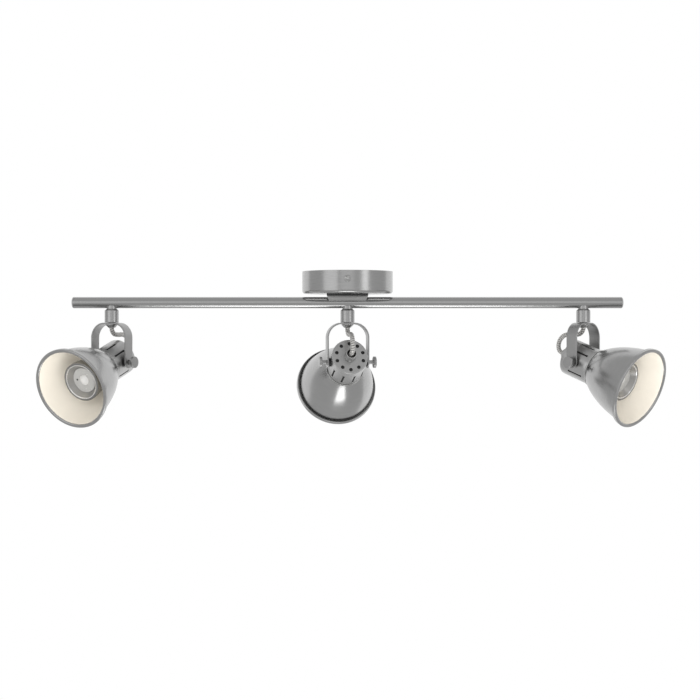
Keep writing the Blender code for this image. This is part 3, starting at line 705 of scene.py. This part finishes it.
def mounting_strap():
    """Steel strip bent to a U: two slots and an earth hole in its top, a tapped hole in each ear."""
    lower, upper = low("mounting_strap"), high("mounting_strap")
    half, width = (upper[1] - lower[1]) / 2, (upper[0] - lower[0]) / 2
    top, bend = upper[2] - STRAP_THICKNESS / 2, 2.4
    half_flat = half - STRAP_THICKNESS / 2 - bend
    ear = half_flat + bend * math.pi / 2 + (top - bend)
    panels = []
    for start, stop, centre, reach, radius in (
            (-half_flat, -16.0, (-26.0, 0.0), 4.5, 2.5), (4.0, 16.0, (10.0, -5.0), 0.0, 2.0),
            (16.0, half_flat, (26.0, 0.0), 4.5, 2.5)):
        outline = outline_box(start, stop, width, 16, 12)
        panels.append((ring_between(slot_outline(outline, np.array(centre), reach, radius), outline), True))
    panels.append((flat_grid(-16.0, 4.0, width, 16, 12), False))
    sheets = strip_sheets(half_flat, bend, ear + 9.0, ear - lower[2], width, panels, 2.3, False)
    piece("ceiling_strap", "mounting_strap", bent(sheets, u_fold(half_flat, bend, top)),
          Seat((0, 0, 0), (0, 1, 0), (0, 0, 1)), ZINC, wall=STRAP_THICKNESS, offset=0, edge=0.25)


def block(x_half, y_half, bottom, top, x_half_low=None, groove=None):
    """Closed block with level sides; its half length tapers downwards and a groove may run along X."""
    x_half_low = x_half if x_half_low is None else x_half_low
    u, y = np.linspace(-1, 1, 9), np.linspace(-y_half, y_half, 57)
    under = np.full_like(y, bottom)
    if groove:
        radius, axis_z = groove
        under = np.maximum(bottom, axis_z + np.sqrt(np.maximum(radius ** 2 - y ** 2, 0)))

    def layer(z):
        share = np.clip((z - bottom) / (top - bottom), 0, 1)
        half = x_half_low + (x_half - x_half_low) * share
        grid_u, grid_y = np.meshgrid(u, y, indexing="ij")
        return np.stack([grid_u * half, grid_y, z + 0 * grid_u], -1)
    lower, upper = layer(under[None, :] + 0 * u[:, None]), layer(np.full((9, 57), top))
    sheets = [lower, upper]
    for one, two in ((lower, upper), (lower.swapaxes(0, 1), upper.swapaxes(0, 1))):
        sheets += [np.stack([one[end], two[end]]) for end in (0, -1)]
    shapes = [grid(sheet) for sheet in sheets]
    return [(verts, quads, lengthwise_grain(verts)) for verts, quads in shapes]


def saddle_and_gasket():
    """Saddle with flared ends, cut to the tube's round, and the flat gasket above it."""
    tube_z = middle("bar_tube")[2]
    groove = (high("bar_tube")[2] - tube_z + 0.3, tube_z)
    for name, node, finish, edge, foot, cut in (
            ("gasket_pad", "saddle_gasket", BLACK_RUBBER, 0.3, None, None),
            ("tube_saddle", "saddle", NICKEL, 0.5, SADDLE_FOOT / 2, groove)):
        lower, upper = low(node), high(node)
        half_x, half_y = (upper[:2] - lower[:2]) / 2
        piece(name, node, block(half_x, half_y, lower[2], upper[2], foot, cut), CEILING, finish, edge=edge,
              edge_steps=3)


def nipple_and_nut():
    """Hollow threaded nipple, and a chamfered hexagon nut: radius is flat distance over cosine."""
    steps, bore, core = 96, 2.8, 3.6
    bottom, top = low("saddle_nipple")[2], high("saddle_nipple")[2]
    rows = np.vstack([ring_row(bore, top, steps), ring_row(bore, bottom, steps),
                      ring_row(core, bottom, steps), thread_rows(4.0, 1.0, 0.35, bottom, top, steps),
                      ring_row(core, top, steps)])
    piece("threaded_nipple", "saddle_nipple", lathe_sheet(rows, True), CEILING, ZINC, sharp=30)
    bottom, top = low("saddle_nut")[2], high("saddle_nut")[2]
    angle = full_turn(steps)
    hexagon = 6.5 / np.cos(np.mod(angle, math.pi / 3) - math.pi / 6)
    chamfer = np.array([[6.6, bottom], [6.9, bottom], [7.6, bottom + 0.4], [7.6, top - 0.4], [6.9, top],
                        [6.6, top]])
    outside = circles(np.minimum(hexagon[None, :], chamfer[:, :1]), angle, chamfer[:, 1:])
    rows = np.vstack([ring_row(NIPPLE_HOLE, bottom, steps), outside, ring_row(NIPPLE_HOLE, top, steps)])
    piece("hexagon_nut", "saddle_nut", lathe_sheet(rows, True), CEILING, ZINC, sharp=25)


def terminal_block():
    """Moulded three-pole block: two decks, a wire way through each pole and a clamp screw on it."""
    node = "terminal_block"
    lower, upper, centre = low(node), high(node), middle(node)
    deck, tower_top, way = lower[2] + 7.5, upper[2] - 0.6, lower[2] + 4.2
    half_x, half_y = (upper[:2] - lower[:2]) / 2
    piece("terminal_body", node, block(half_x, half_y, lower[2], deck), upright(centre[0], centre[1]),
          WHITE_MOULDING, edge=0.5, edge_steps=3)
    tower = rounded([(2.2, tower_top, 0.2), (3.1, tower_top, 0.5), (3.1, deck - 0.3, 0.3),
                     (2.2, deck - 0.3, 0.1)])
    barrel = rounded([(1.9, half_x + 0.02, 0.15), (2.3, half_x + 0.02, 0.15), (2.3, 2.0), (1.3, 2.0),
                      (1.3, half_x - 0.4, 0.1)])
    head_radius, head_depth = 1.9, 1.2
    base = turned([(head_radius, head_depth * HEAD_EDGE), (head_radius, -0.5), (0, -0.5)], closed=False,
                  steps=HEAD_STEPS)
    for pole in (-1, 0, 1):
        x, y = centre[0], centre[1] + pole * 8
        lathed(f"terminal_tower_{pole + 2}", node, tower, upright(x, y), WHITE_MOULDING, steps=48, sharp=38,
               replaces=False)
        for side, letter in ((-1, "l"), (1, "r")):
            lathed(f"terminal_barrel_{pole + 2}_{letter}", node, barrel, Seat((x, y, way), (0, 0, 1),
                   (side, 0, 0)), BRASS, steps=40, sharp=38, slot="brass", replaces=False)
        head = cross_head(head_radius, head_depth, blade=0.3, reach=1.5, drop=0.8, turn=20 + 35 * pole)
        piece(f"terminal_screw_{pole + 2}", node, [head, base], upright(x, y, deck), BRASS, slot="brass",
              replaces=False)


def bar_tube():
    """Drawn tube, hollow, with its ends faced off square."""
    centre = middle("bar_tube")
    radius = high("bar_tube")[2] - centre[2]
    half = high("end_cap_right")[0] - centre[0] - CAP_DOME
    inner = radius - TUBE_WALL
    profile = rounded([(radius, half, 0.15), (radius, -half, 0.15), (inner, -half, 0.1), (inner, half, 0.1)],
                      steps=3)
    outside = np.column_stack([np.full(41, radius), np.linspace(half - 1, -half + 1, 41)])
    profile = np.insert(profile, int(np.argmax(profile[:, 1] < 0)), outside, axis=0)
    lathed("drawn_tube", "bar_tube", profile, Seat(centre, (0, 1, 0), (1, 0, 0)), NICKEL_DRAWN)


def end_caps():
    """Domed buttons with a spigot in the tube's bore: the dome is a flattened quarter of a circle."""
    centre = middle("bar_tube")
    radius, lip, gap, spigot = high("bar_tube")[2] - centre[2], 0.25, 0.06, 4.7
    turn = np.linspace(0, math.pi / 2, 20)
    dome = np.column_stack([radius * np.sin(turn) ** 0.8, lip + (CAP_DOME - lip) * np.cos(turn) ** 0.8])
    rest = rounded([(radius, lip), (radius, gap, 0.05), (spigot, gap, 0.1), (spigot, -4, 0.3), (0, -4)],
                   steps=4)[1:-1]
    for side, word, face in ((-1, "left", low("end_cap_left")[0]), (1, "right", high("end_cap_right")[0])):
        seat = Seat((face - side * CAP_DOME, centre[1], centre[2]), (0, 1, 0), (side, 0, 0))
        lathed(f"button_{word}", f"end_cap_{word}", np.vstack([dome, rest]), seat, NICKEL_DRAWN,
               closed=False)


# ---------------------------------------------------------------- stems, yokes and leads

def stem(spot):
    """Turned barrel with a chamfered shoulder, a neck into the tube and a threaded tail."""
    r, neck = STEM_RADIUS, NECK_RADIUS
    profile = rounded([(3.2, -36), (neck, -36, 0.2), (neck, -39.6, 0.1), (r - 0.5, -41, 0.3),
                       (r, -41.4, 0.4), (r, -54, 0.35), (4, -54, 0.1), (4, -57.3, 0.3), (3.2, -57.3, 0.2)])
    lathed(f"barrel_{spot}", f"stem_{spot}", profile, upright(middle(f"stem_{spot}")[0]), NICKEL)


def swivel_nut(spot):
    """Cone nut under the yoke, open for the lead."""
    profile = rounded([(6.5, -56.1, 0.15), (6.5, -56.7, 0.2), (3.6, -59.6, 0.3), (2.95, -59.6, 0.1),
                       (2.95, -57.7), (4.3, -57.7), (4.3, -56.1, 0.1)])
    lathed(f"cone_nut_{spot}", f"swivel_nut_{spot}", profile, upright(middle(f"swivel_nut_{spot}")[0]),
           NICKEL_BRIGHT)


def yoke(spot):
    """Flat strip bent to an upside-down U, round arm ends, swivel hole on top."""
    top = high(f"yoke_{spot}")[2] - YOKE_THICKNESS / 2
    bend = YOKE_CORNER - YOKE_THICKNESS / 2
    half_flat = YOKE_HALF_SPAN - YOKE_THICKNESS / 2 - bend
    pivot = half_flat + bend * math.pi / 2 + (top - bend - JOINTS[f"tilt_{spot}"]["pos_m"][2] / MM)
    half = YOKE_WIDTH / 2
    outline = outline_box(-half_flat, half_flat, half, 14, 12)
    hole = slot_outline(outline, np.zeros(2), 0, NIPPLE_HOLE)
    sheets = strip_sheets(half_flat, bend, pivot, pivot + half, half, [(ring_between(hole, outline), True)],
                          2.6, True)
    piece(f"bracket_{spot}", f"yoke_{spot}", bent(sheets, u_fold(half_flat, bend, top)), yoke_seat(spot),
          NICKEL_BLASTED, wall=YOKE_THICKNESS, offset=0, edge=0.3, edge_steps=3)


def lead_route(spot):
    """Route behind the stem, in millimetres: (distance behind, height), ending along the beam's axis."""
    seat, yoke_axes = head_seat(spot), yoke_seat(spot)
    beam_back = np.dot(seat.axes[2], yoke_axes.axes[1])
    beam_up = seat.axes[2][2]
    pivot_z = seat.origin[2]
    route = [(0, -52), (0, -56), (0, -60), (1.3, -63.4), (5, -66.2), (12, -66.9), (19, -66.6), (25, -68.2),
             (29.6, -72.6), (31.4, -78.4), (30.4, -83.4), (27.4, -85.9)]
    route += [(t * beam_back, pivot_z + t * beam_up) for t in (-25, -21, -14)]
    return np.array(route, float)


def smooth_route(points, pieces):
    """Catmull-Rom curve through the points, the same number of steps in every span."""
    before = np.vstack([2 * points[:1] - points[1:2], points[:-2]])[:, None]
    start, end = points[:-1][:, None], points[1:][:, None]
    after = np.vstack([points[2:], 2 * points[-1:] - points[-2:-1]])[:, None]
    t = (np.arange(pieces) / pieces)[None, :, None]
    bend, twist = 2 * before - 5 * start + 4 * end - after, 3 * (start - end) + after - before
    curve = start + 0.5 * t * ((end - before) + t * (bend + t * twist))
    return np.vstack([curve.reshape(-1, points.shape[1]), points[-1:]])


def lead(spot):
    """Braided lead over a coil: a tube along the route, its radius a clipped sine of length over
    rib pitch plus angle over a turn, with fine strands across the ribs, closed at both ends."""
    curve = smooth_route(lead_route(spot), 24)
    distance = np.concatenate([[0], np.cumsum(np.linalg.norm(np.diff(curve, axis=0), axis=1))])
    even = np.linspace(0, distance[-1], int(distance[-1] / 0.14))
    curve = np.column_stack([np.interp(even, distance, curve[:, i]) for i in (0, 1)])
    tangent = np.gradient(curve, axis=0)
    tangent /= np.linalg.norm(tangent, axis=1, keepdims=True)
    along, angle = np.meshgrid(even, full_turn(64), indexing="ij")
    rib = np.clip(1.6 * np.abs(np.sin(math.pi * (along / LEAD_RIB + angle / TAU))), 0, 1)
    weave = np.abs(np.cos(math.pi * (10 * angle / TAU - along / 1.6)))
    height = rib * (0.85 + 0.15 * weave)
    radius = LEAD_RADIUS - 0.5 * (1 - height)
    side, out = radius * np.sin(angle), radius * np.cos(angle)
    points = np.stack([side, curve[:, :1] + out * tangent[:, 1:], curve[:, 1:] - out * tangent[:, :1]], -1)
    ends = [np.repeat(np.array([[[0, *curve[i]]]]), 64, axis=1) for i in (0, -1)]
    verts, quads = grid(np.vstack([ends[0], points, ends[1]]), False, True)
    # The grain's third value is the rib height; the sleeve's finish paints shade from it, darker in the
    # grooves.
    crown = np.vstack([height[:1], height, height[-1:]]).ravel()
    grain = np.column_stack([verts[:, 0], verts[:, 1], 0.15 + 0.7 * crown])
    seat = yoke_seat(spot)
    blend = (f"yoke_{spot}", f"head_{spot}", seat.point(0, 26, -69.5) * MM, seat.point(0, 29.5, -86.5) * MM)
    piece(f"braided_lead_{spot}", f"lead_{spot}", (verts, quads, grain), seat, SLEEVE, sharp=180,
          blend=blend)


# ---------------------------------------------------------------- lamp heads

def can_cap():
    """Flat cap: a ring round the gland's hole, ten sectors with a round vent, and the corner's arc."""
    per, sector = 24, TAU / 2 / VENTS
    angle = full_turn(10 * per)
    edge, start = CAN_RADIUS - CAN_CORNER, 7.5

    def rows(radii, heights):
        return circles(np.array(radii)[:, None], angle, np.array(heights)[:, None])
    bend = np.linspace(0, math.pi / 2, 7)
    sheets = [(rows([NIPPLE_HOLE, 5.2, 6.4, start], [CAN_BACK] * 4), True),
              (rows(edge + CAN_CORNER * np.sin(bend), CAN_BACK + CAN_CORNER * (1 - np.cos(bend))), True)]
    sweep = np.linspace(-sector, sector, per + 1)[:-1]
    radial = np.linspace(start, edge, 15)[:-1]
    polar = np.vstack([np.column_stack([np.full(per, start), sweep]),
                       np.column_stack([radial, np.full(14, sector)]),
                       np.column_stack([np.full(per, edge), -sweep]),
                       np.column_stack([(edge + start) - radial, np.full(14, -sector)])])
    for number in range(VENTS):
        centre = math.radians(90) + number * TAU / VENTS
        turn = polar[:, 1] + centre
        outline = np.column_stack([polar[:, 0] * np.cos(turn), polar[:, 0] * np.sin(turn)])
        vent = VENT_RING * np.array([math.cos(centre), math.sin(centre)])
        flat = ring_between(slot_outline(outline, vent, 0, VENT_RADIUS), outline, rows=6)
        sheets.append((np.concatenate([flat, np.full(flat.shape[:2] + (1,), CAN_BACK)], -1), True))
    return sheets


def keyhole_outline(per, quarter, straight, slit=0.95, back_end=1.45, front_end=1.2):
    """Slot with a drilled round at each end, and where along the can its sides' points lie:
    half rounds face the ends, and the rest of each round runs into the straight edges."""
    back, front = SLOT_BACK + back_end, SLOT_FRONT - front_end
    open_back, open_front = math.asin(slit / back_end), math.asin(slit / front_end)
    half_back = np.linspace(math.pi / 2, 3 * math.pi / 2, per + 1)[:-1]
    half_front = np.linspace(-math.pi / 2, math.pi / 2, per + 1)[:-1]
    turn_back = np.linspace(3 * math.pi / 2, TAU - open_back, quarter + 1)[:-1]
    turn_front = np.linspace(open_front - math.pi, -math.pi / 2, quarter + 1)[:-1]
    edge_low, edge_high = back + back_end * math.cos(open_back), front - front_end * math.cos(open_front)
    run = np.linspace(edge_low, edge_high, straight + 1)[:-1]

    def round_end(centre, radius, angle):
        return np.column_stack([centre + radius * np.cos(angle), radius * np.sin(angle)])
    edge = np.column_stack([run, np.full(straight, -slit)])
    right = np.vstack([round_end(back, back_end, turn_back), edge, round_end(front, front_end, turn_front)])
    left = np.vstack([[[front, front_end]], right[1:][::-1] * (1, -1)])
    outline = np.vstack([round_end(back, back_end, half_back), right,
                         round_end(front, front_end, half_front), left])
    places = np.concatenate([np.linspace(CAN_BACK + CAN_CORNER, edge_low, quarter + 1)[:-1], run,
                             np.linspace(edge_high, CAN_FRONT, quarter + 1)])
    return outline, places


def can_side():
    """Ten panels rolled on the can's radius: two with a pivot hole, eight with a keyhole slot."""
    per, quarter, straight = 24, 6, 18
    half = CAN_RADIUS * TAU / 20
    keyhole, places = keyhole_outline(per, quarter, straight)
    sides = len(places) - 1
    across = np.linspace(-half, half, per + 1)[:-1]
    outline = np.vstack([np.column_stack([np.full(per, places[0]), -across]),
                         np.column_stack([places[:-1], np.full(sides, -half)]),
                         np.column_stack([np.full(per, places[-1]), across]),
                         np.column_stack([places[:0:-1], np.full(sides, half)])])
    pivot = slot_outline(outline, np.zeros(2), 0, 2.4)
    sheets = []
    for number in range(10):
        flat = ring_between(pivot if number in (0, 5) else keyhole, outline, rows=7)
        turn = number * TAU / 10 + flat[..., 1] / CAN_RADIUS
        sheets.append((circles(CAN_RADIUS, turn, flat[..., 0]), True))
    return sheets


def lamp_can(spot):
    """Vented can, and a thin black sheet just inside it, behind its vents and slots: painted shadow that
    darkens the can's inside.
    """
    shapes = [lathe_sheet(sheet, False, wrap) for sheet, wrap in can_cap() + can_side()]
    piece(f"vented_can_{spot}", f"lamp_can_{spot}", shapes, head_seat(spot), NICKEL_CAN_PAINTED_LIGHT, wall=CAN_WALL,
          edge=0.12)
    # Black sheet just inside the can: painted shadow, seen through the vents and slots.
    out, back, front = CAN_RADIUS - CAN_WALL - 0.15, CAN_BACK + CAN_WALL + 0.5, 14.0
    painted_shadow_sheet = rounded([(out, front), (out, back, 0.8), (4.6, back), (4.6, back + 0.3),
                     (out - 0.3, back + 0.3, 0.6), (out - 0.3, front)], steps=4)
    lathed(f"can_painted_shadow_{spot}", f"lamp_can_{spot}", painted_shadow_sheet, head_seat(spot), BLACK_MATT, steps=STEPS,
           slot="black_plastic", replaces=False)


def cable_gland(spot):
    """Flared nipple: foot, waist and an open mouth for the lead."""
    profile = rounded([(4.0, -12.4, 0.2), (4.0, -16.7), (6.4, -16.7, 0.2), (6.2, -17.7, 0.4),
                       (5.5, -19, 0.8), (5.5, -26.1, 0.5), (4.65, -26.1, 0.25), (4.65, -19.6, 0.3),
                       (3.1, -18.2, 0.3), (3.1, -12.4, 0.2)], steps=6)
    lathed(f"gland_{spot}", f"cable_gland_{spot}", profile, head_seat(spot), NICKEL_BRIGHT)


def neck_ring(spot):
    """Plain collar between can and shade, its edges broken."""
    back, front, outer, inner = CAN_FRONT + 0.3, SHADE_BACK - 0.3, 20.3, CAN_RADIUS - CAN_WALL
    profile = rounded([(outer, front, 0.35), (outer, back, 0.35), (inner, back, 0.1), (inner, front, 0.1)],
                      steps=4)
    lathed(f"collar_{spot}", f"neck_ring_{spot}", profile, head_seat(spot), NICKEL_BRIGHT, steps=STEPS)


def shade_profile():
    """Sheet-metal bell: neck flange, swelling flank, rim folded out and back into an open hem."""
    wall, hole, front = SHADE_WALL, CAN_RADIUS - CAN_WALL, SHADE_MOUTH
    shoulder = (20.8, SHADE_BACK + 0.8)
    flank_end = (SHADE_RADIUS - HEM_WIDTH, front - HEM_DEPTH)
    lip = SHADE_RADIUS - HEM_LIP
    outer = bell_curve(flank_end, (35.2, 38), shoulder, 40)
    inner = bell_curve((shoulder[0] - 0.6 * wall, shoulder[1] + wall), (35.2 - wall, 38 + 0.5 * wall),
                       (flank_end[0] - wall, flank_end[1]), 40)
    slope = (outer[0] - outer[1]) / np.linalg.norm(outer[0] - outer[1])
    deep = outer[0] + slope * (HEM_DEPTH - 2.0)
    hem = rounded([(inner[-1][0], inner[-1][1]), (deep[0] - wall, front, 1.6), (SHADE_RADIUS, front, 1.2),
                   (lip + 1.0, front - HEM_DEPTH + 1.8, 0.4), (lip, front - HEM_DEPTH + 1.8, 0.4),
                   (lip, deep[1], 0.55), (deep[0], deep[1], 0.55), tuple(outer[0])], steps=6)
    hem = hem[2:-2]
    flange = rounded([tuple(outer[-1]), (20.2, SHADE_BACK, 0.3), (hole, SHADE_BACK, 0.2),
                      (hole, SHADE_BACK + wall, 0.3), tuple(inner[0])], steps=4)[2:-2]
    return outer, flange, inner, hem


def shade(spot):
    """Nickel bell, and its enamel: a thin closed skin that thins out towards the rim."""
    outer, flange, inner, hem = shade_profile()
    seat = head_seat(spot)
    lathed(f"bell_{spot}", f"shade_{spot}", np.vstack([outer, flange, inner, hem]), seat, NICKEL_SPUN,
           steps=STEPS)
    paint, sunk = 0.12, 0.14
    face = np.vstack([inner[1:], hem[:int(np.argmax(hem[:, 1] > SHADE_MOUTH - 1.2))]])
    slope = np.gradient(face, axis=0)
    slope /= np.linalg.norm(slope, axis=1, keepdims=True)
    away = np.column_stack([-slope[:, 1], slope[:, 0]])
    inside = face + away * (paint * np.clip(np.arange(len(face))[::-1] / 2, 0.02, 1))[:, None]
    enamel = np.vstack([inside, (face - away * sunk)[::-1]])
    lathed(f"bell_enamel_{spot}", f"shade_{spot}", enamel, seat, CREAM, steps=STEPS, slot="cream_enamel",
           replaces=False, sharp=60)


def lampholder(spot):
    """Glazed twist-lock holder with its flange and two pin ways."""
    flange = CAN_RADIUS - CAN_WALL - 0.6
    profile = rounded([(13, 6.2, 0.5), (13, -6, 0.4), (flange, -6, 0.4), (flange, -8, 0.4), (13, -8, 0.4),
                       (12, -10.5, 1.2), (2.5, -10.5, 0.4), (2.5, -3.4, 0.2), (8.3, -3.4, 0.3),
                       (8.3, 6.2, 0.4)])
    lathed(f"ceramic_holder_{spot}", f"lampholder_{spot}", profile, head_seat(spot), CERAMIC)


def lamp(spot):
    """Reflector lamp: finned body (radius less a clipped cosine of angle), bezel, cone and pins."""
    seat, node = head_seat(spot), f"lamp_body_{spot}"
    front, rim, steps = LAMP_FRONT, LAMP_RADIUS, 240
    shell = rounded([(0, 5), (7.8, 5, 0.4), (7.8, 8), (14.6, 8, 0.8), (14.6, 10), (15.6, 20), (17.8, 33),
                     (20.2, 46), (rim, front - 4, 0.6), (rim, front, 0.9), (18.9, front, 0.3)])[2:-1]
    shell = np.vstack([[[0, 5]], shell])
    rows = [shell[:1]]
    for start, end in zip(shell[:-1], shell[1:]):
        share = np.linspace(0, 1, 9 if abs(end[1] - start[1]) > 6 else 2)[1:, None]
        rows.append(start + (end - start) * share)
    rows, angle = np.vstack(rows), full_turn(steps)
    fins = np.clip((rows[:, 1:] - 12) / 3, 0, 1) * np.clip((46 - rows[:, 1:]) / 3, 0, 1)
    groove = 0.35 * (1 - np.clip(2.2 * np.cos(20 * angle) + 0.6, -1, 1))
    points = circles(rows[:, :1] - fins * groove, angle, rows[:, 1:])
    dish = turned([(18.9, front), (18.7, front - 0.35), (14.0, 50.5), (0, 50.4)], closed=False, steps=steps)
    piece(f"lamp_shell_{spot}", node, [lathe_sheet(points), dish], seat, LAMP_METAL)
    ring = rounded([(18.9, front + 0.02, 0.1), (18.5, front + 0.12, 0.2), (18.0, front - 0.1, 0.2),
                    (17.7, front - 0.5, 0.1), (17.9, front - 0.8), (18.8, front - 0.6)])
    cone = rounded([(17.85, front - 0.55), (14.05, 51.6, 0.3), (13.8, 51.2), (17.8, 55.9)], steps=4)
    for name, profile, finish in (("bezel", ring, LAMP_BRIGHT), ("cone", cone, LAMP_CONE)):
        lathed(f"lamp_{name}_{spot}", node, profile, seat, finish, steps=STEPS, replaces=False)
    pin = solid_outline([(0, 6.5), (1.4, 6.5), (1.4, -0.8, 0.2), (2.4, -0.8, 0.25), (2.4, -2.8, 0.5),
                         (0, -2.8)])
    for number, side in enumerate((-1, 1)):
        lathed(f"lamp_pin_{spot}_{number + 1}", node, pin, Seat(seat.point(0, side * 5, 0), seat.axes[0],
               seat.axes[2]), LAMP_METAL, steps=32, closed=False, sharp=38, replaces=False)


def lens(spot):
    """Front glass: a disc with a sunk ring, a dome (height is a cosine of radius) and a gate mark."""
    seat, node = head_seat(spot), f"lamp_lens_{spot}"
    back, dome = 50.7, 5.7
    flat = back + 1.0
    disc = solid_outline([(0, flat), (dome, flat), (dome + 0.5, flat - 0.3, 0.2), (dome + 1.1, flat, 0.2),
                          (11.6, flat, 0.3), (12.1, flat + 0.35, 0.2), (13.6, flat, 0.3), (13.6, back, 0.15),
                          (0, back)])
    rho = np.linspace(0, 1, 24)
    cap = np.column_stack([rho * dome, flat - 0.1 + 2.2 * np.cos(rho * math.pi / 2) ** 0.9])
    cap = np.vstack([cap, [[dome - 0.3, flat - 0.3], [0, flat - 0.3]]])
    gate = solid_outline([(0, flat + 0.25), (1.0, flat + 0.25, 0.2), (1.1, flat - 0.2), (0, flat - 0.2)], 3)
    gate_seat = Seat(seat.point(-8.4, 0.6, 0), seat.axes[0], seat.axes[2])
    lathed(f"front_glass_{spot}", node, disc, seat, LENS, steps=160, closed=False)
    lathed(f"front_dome_{spot}", node, cap, seat, LENS_DOME, closed=False, sharp=60, replaces=False)
    lathed(f"glass_gate_{spot}", node, gate, gate_seat, BLACK_MATT, steps=32, closed=False, sharp=60,
           slot="black_plastic", replaces=False)


def pivot_parts(spot):
    """Black spacer and round thumb screw on each side of the head; the spacer's inner end follows
    the can: its depth is the root of can radius squared less offset squared."""
    seat = head_seat(spot)
    outer = YOKE_HALF_SPAN - YOKE_THICKNESS - 0.3
    radius, angle = np.array([[2.4], [4.45], [4.6], [4.6], [2.4]]), full_turn(96)
    seated = np.sqrt((CAN_RADIUS + 0.3) ** 2 - (radius[-2:] * np.cos(angle)) ** 2)
    depth = np.vstack([np.full((2, 96), outer), np.full((1, 96), outer - 0.15), seated])
    spacer = lathe_sheet(circles(radius, angle, depth), True)
    knob = solid_outline([(0, KNOB_OUTER), (KNOB_RADIUS, KNOB_OUTER, 0.5), (KNOB_RADIUS, KNOB_INNER, 0.4),
                          (2.1, KNOB_INNER, 0.15), (2.1, 16.6, 0.4), (0, 16.6)], 5)
    for letter, side in (("a", -1), ("b", 1)):
        outwards = Seat(seat.origin, seat.axes[1], side * seat.axes[0])
        piece(f"spacer_{spot}_{letter}", f"pivot_spacer_{spot}_{letter}", spacer, outwards, BLACK_RUBBER)
        lathed(f"thumb_disc_{spot}_{letter}", f"thumb_screw_{spot}_{letter}", knob, outwards, NICKEL_BLASTED,
               closed=False)


# ---------------------------------------------------------------- floor, light and camera

def plane(name, centre, size_x, size_y, finish):
    """Level sheet for the surroundings."""
    points = np.array([[-1, -1], [1, -1], [1, 1], [-1, 1]]) * (size_x / 2, size_y / 2)
    mesh = bpy.data.meshes.new(name)
    mesh.from_pydata([(*(point + centre[:2]), centre[2]) for point in points], [], [(0, 1, 2, 3)])
    mesh.materials.append(finish)
    obj = new_object(name, mesh)
    return obj


def panel_light(name, place, aim, width, height, glow):
    """Soft box of a given glow, white being one, aimed at a point and hidden from the camera's own view."""
    light = bpy.data.lights.new(name, "AREA")
    light.shape, light.size, light.size_y = "RECTANGLE", width, height
    light.energy = glow * math.pi * width * height
    obj = new_object(name, light)
    obj.location = place
    obj.rotation_euler = (Vector(aim) - Vector(place)).to_track_quat("-Z", "Y").to_euler()
    obj.visible_camera = False
    return obj


def around(azimuth, distance, height):
    """Place at an angle to the right of the camera's side of the bar, seen from above."""
    a = math.radians(azimuth)
    return (distance * math.sin(a), -distance * math.cos(a), height)


def surroundings():
    """White studio: it shows white, and gives an even grey light."""
    world = bpy.data.worlds.new("studio")
    bpy.context.scene.world = world
    world.use_nodes = True
    tree = world.node_tree
    tree.nodes.clear()
    rays = add(tree, "ShaderNodeLightPath")
    soft = add(tree, "ShaderNodeBackground", Color=(1, 1, 1, 1), Strength=0.6)
    white = add(tree, "ShaderNodeBackground", Color=(1, 1, 1, 1), Strength=1.0)
    mixed = add(tree, "ShaderNodeMixShader", i0=rays.outputs["Is Camera Ray"], i1=soft.outputs[0],
                i2=white.outputs[0])
    out = tree.nodes.new("ShaderNodeOutputWorld")
    tree.links.new(mixed.outputs[0], out.inputs["Surface"])
    pale = grained_finish("pale_floor", (0.86, 0.86, 0.86), (0.6, 0.7), size=4.0, spread=0.01,
                          Emission_Color=(1, 1, 1, 1), Emission_Strength=0.5)
    floor = plane("floor", (0, -5.5, -1.75), 26.0, 25.6, pale)
    floor.visible_glossy = False


def lights():
    """Soft boxes round the bar, and a wide fill that only lights matt surfaces."""
    aim = (0, 0, -0.08)
    panel_light("box_left_front", around(-43, 1.7, 0.1), aim, 1.15, 1.5, 0.55)
    panel_light("strip_right_front", around(45, 1.7, 0.1), aim, 0.5, 1.5, 1.1)
    panel_light("box_front", (0, -3.2, 0.6), aim, 2.0, 1.4, 0.35)
    panel_light("box_below", (0, -0.33, -1.5), (0, -0.33, 0), 0.6, 0.8, 2.6)
    panel_light("backdrop", (0, 1.3, 0.3), (0, 0, 0.1), 6.0, 3.4, 0.45)
    panel_light("fill_front", (0, -2.5, -0.5), (0, 0, -0.1), 5.5, 3.2, 1.35).visible_glossy = False


def camera():
    """Level camera, straight in front of the bar."""
    view = bpy.data.cameras.new("camera")
    view.lens, view.sensor_width = 103.7, 36.0
    obj = new_object("camera", view)
    obj.location = (0.00265, -2.138, -0.0832)
    obj.rotation_euler = (math.pi / 2, 0, 0)
    bpy.context.scene.camera = obj
    bpy.context.scene.view_settings.view_transform = "Standard"


for make in (camera, surroundings, lights, canopy, canopy_screws, mounting_strap, earth_screw,
             terminal_block, saddle_and_gasket, nipple_and_nut, bar_tube, end_caps):
    make()
frame["nodes"]["bar_wiring"].data.materials.clear()
frame["nodes"]["bar_wiring"].data.materials.append(WHITE_MOULDING)
for spot in SPOTS:
    for make in (stem, swivel_nut, yoke, lead, lamp_can, cable_gland, neck_ring, shade, lampholder, lamp,
                 lens, pivot_parts):
        make(spot)
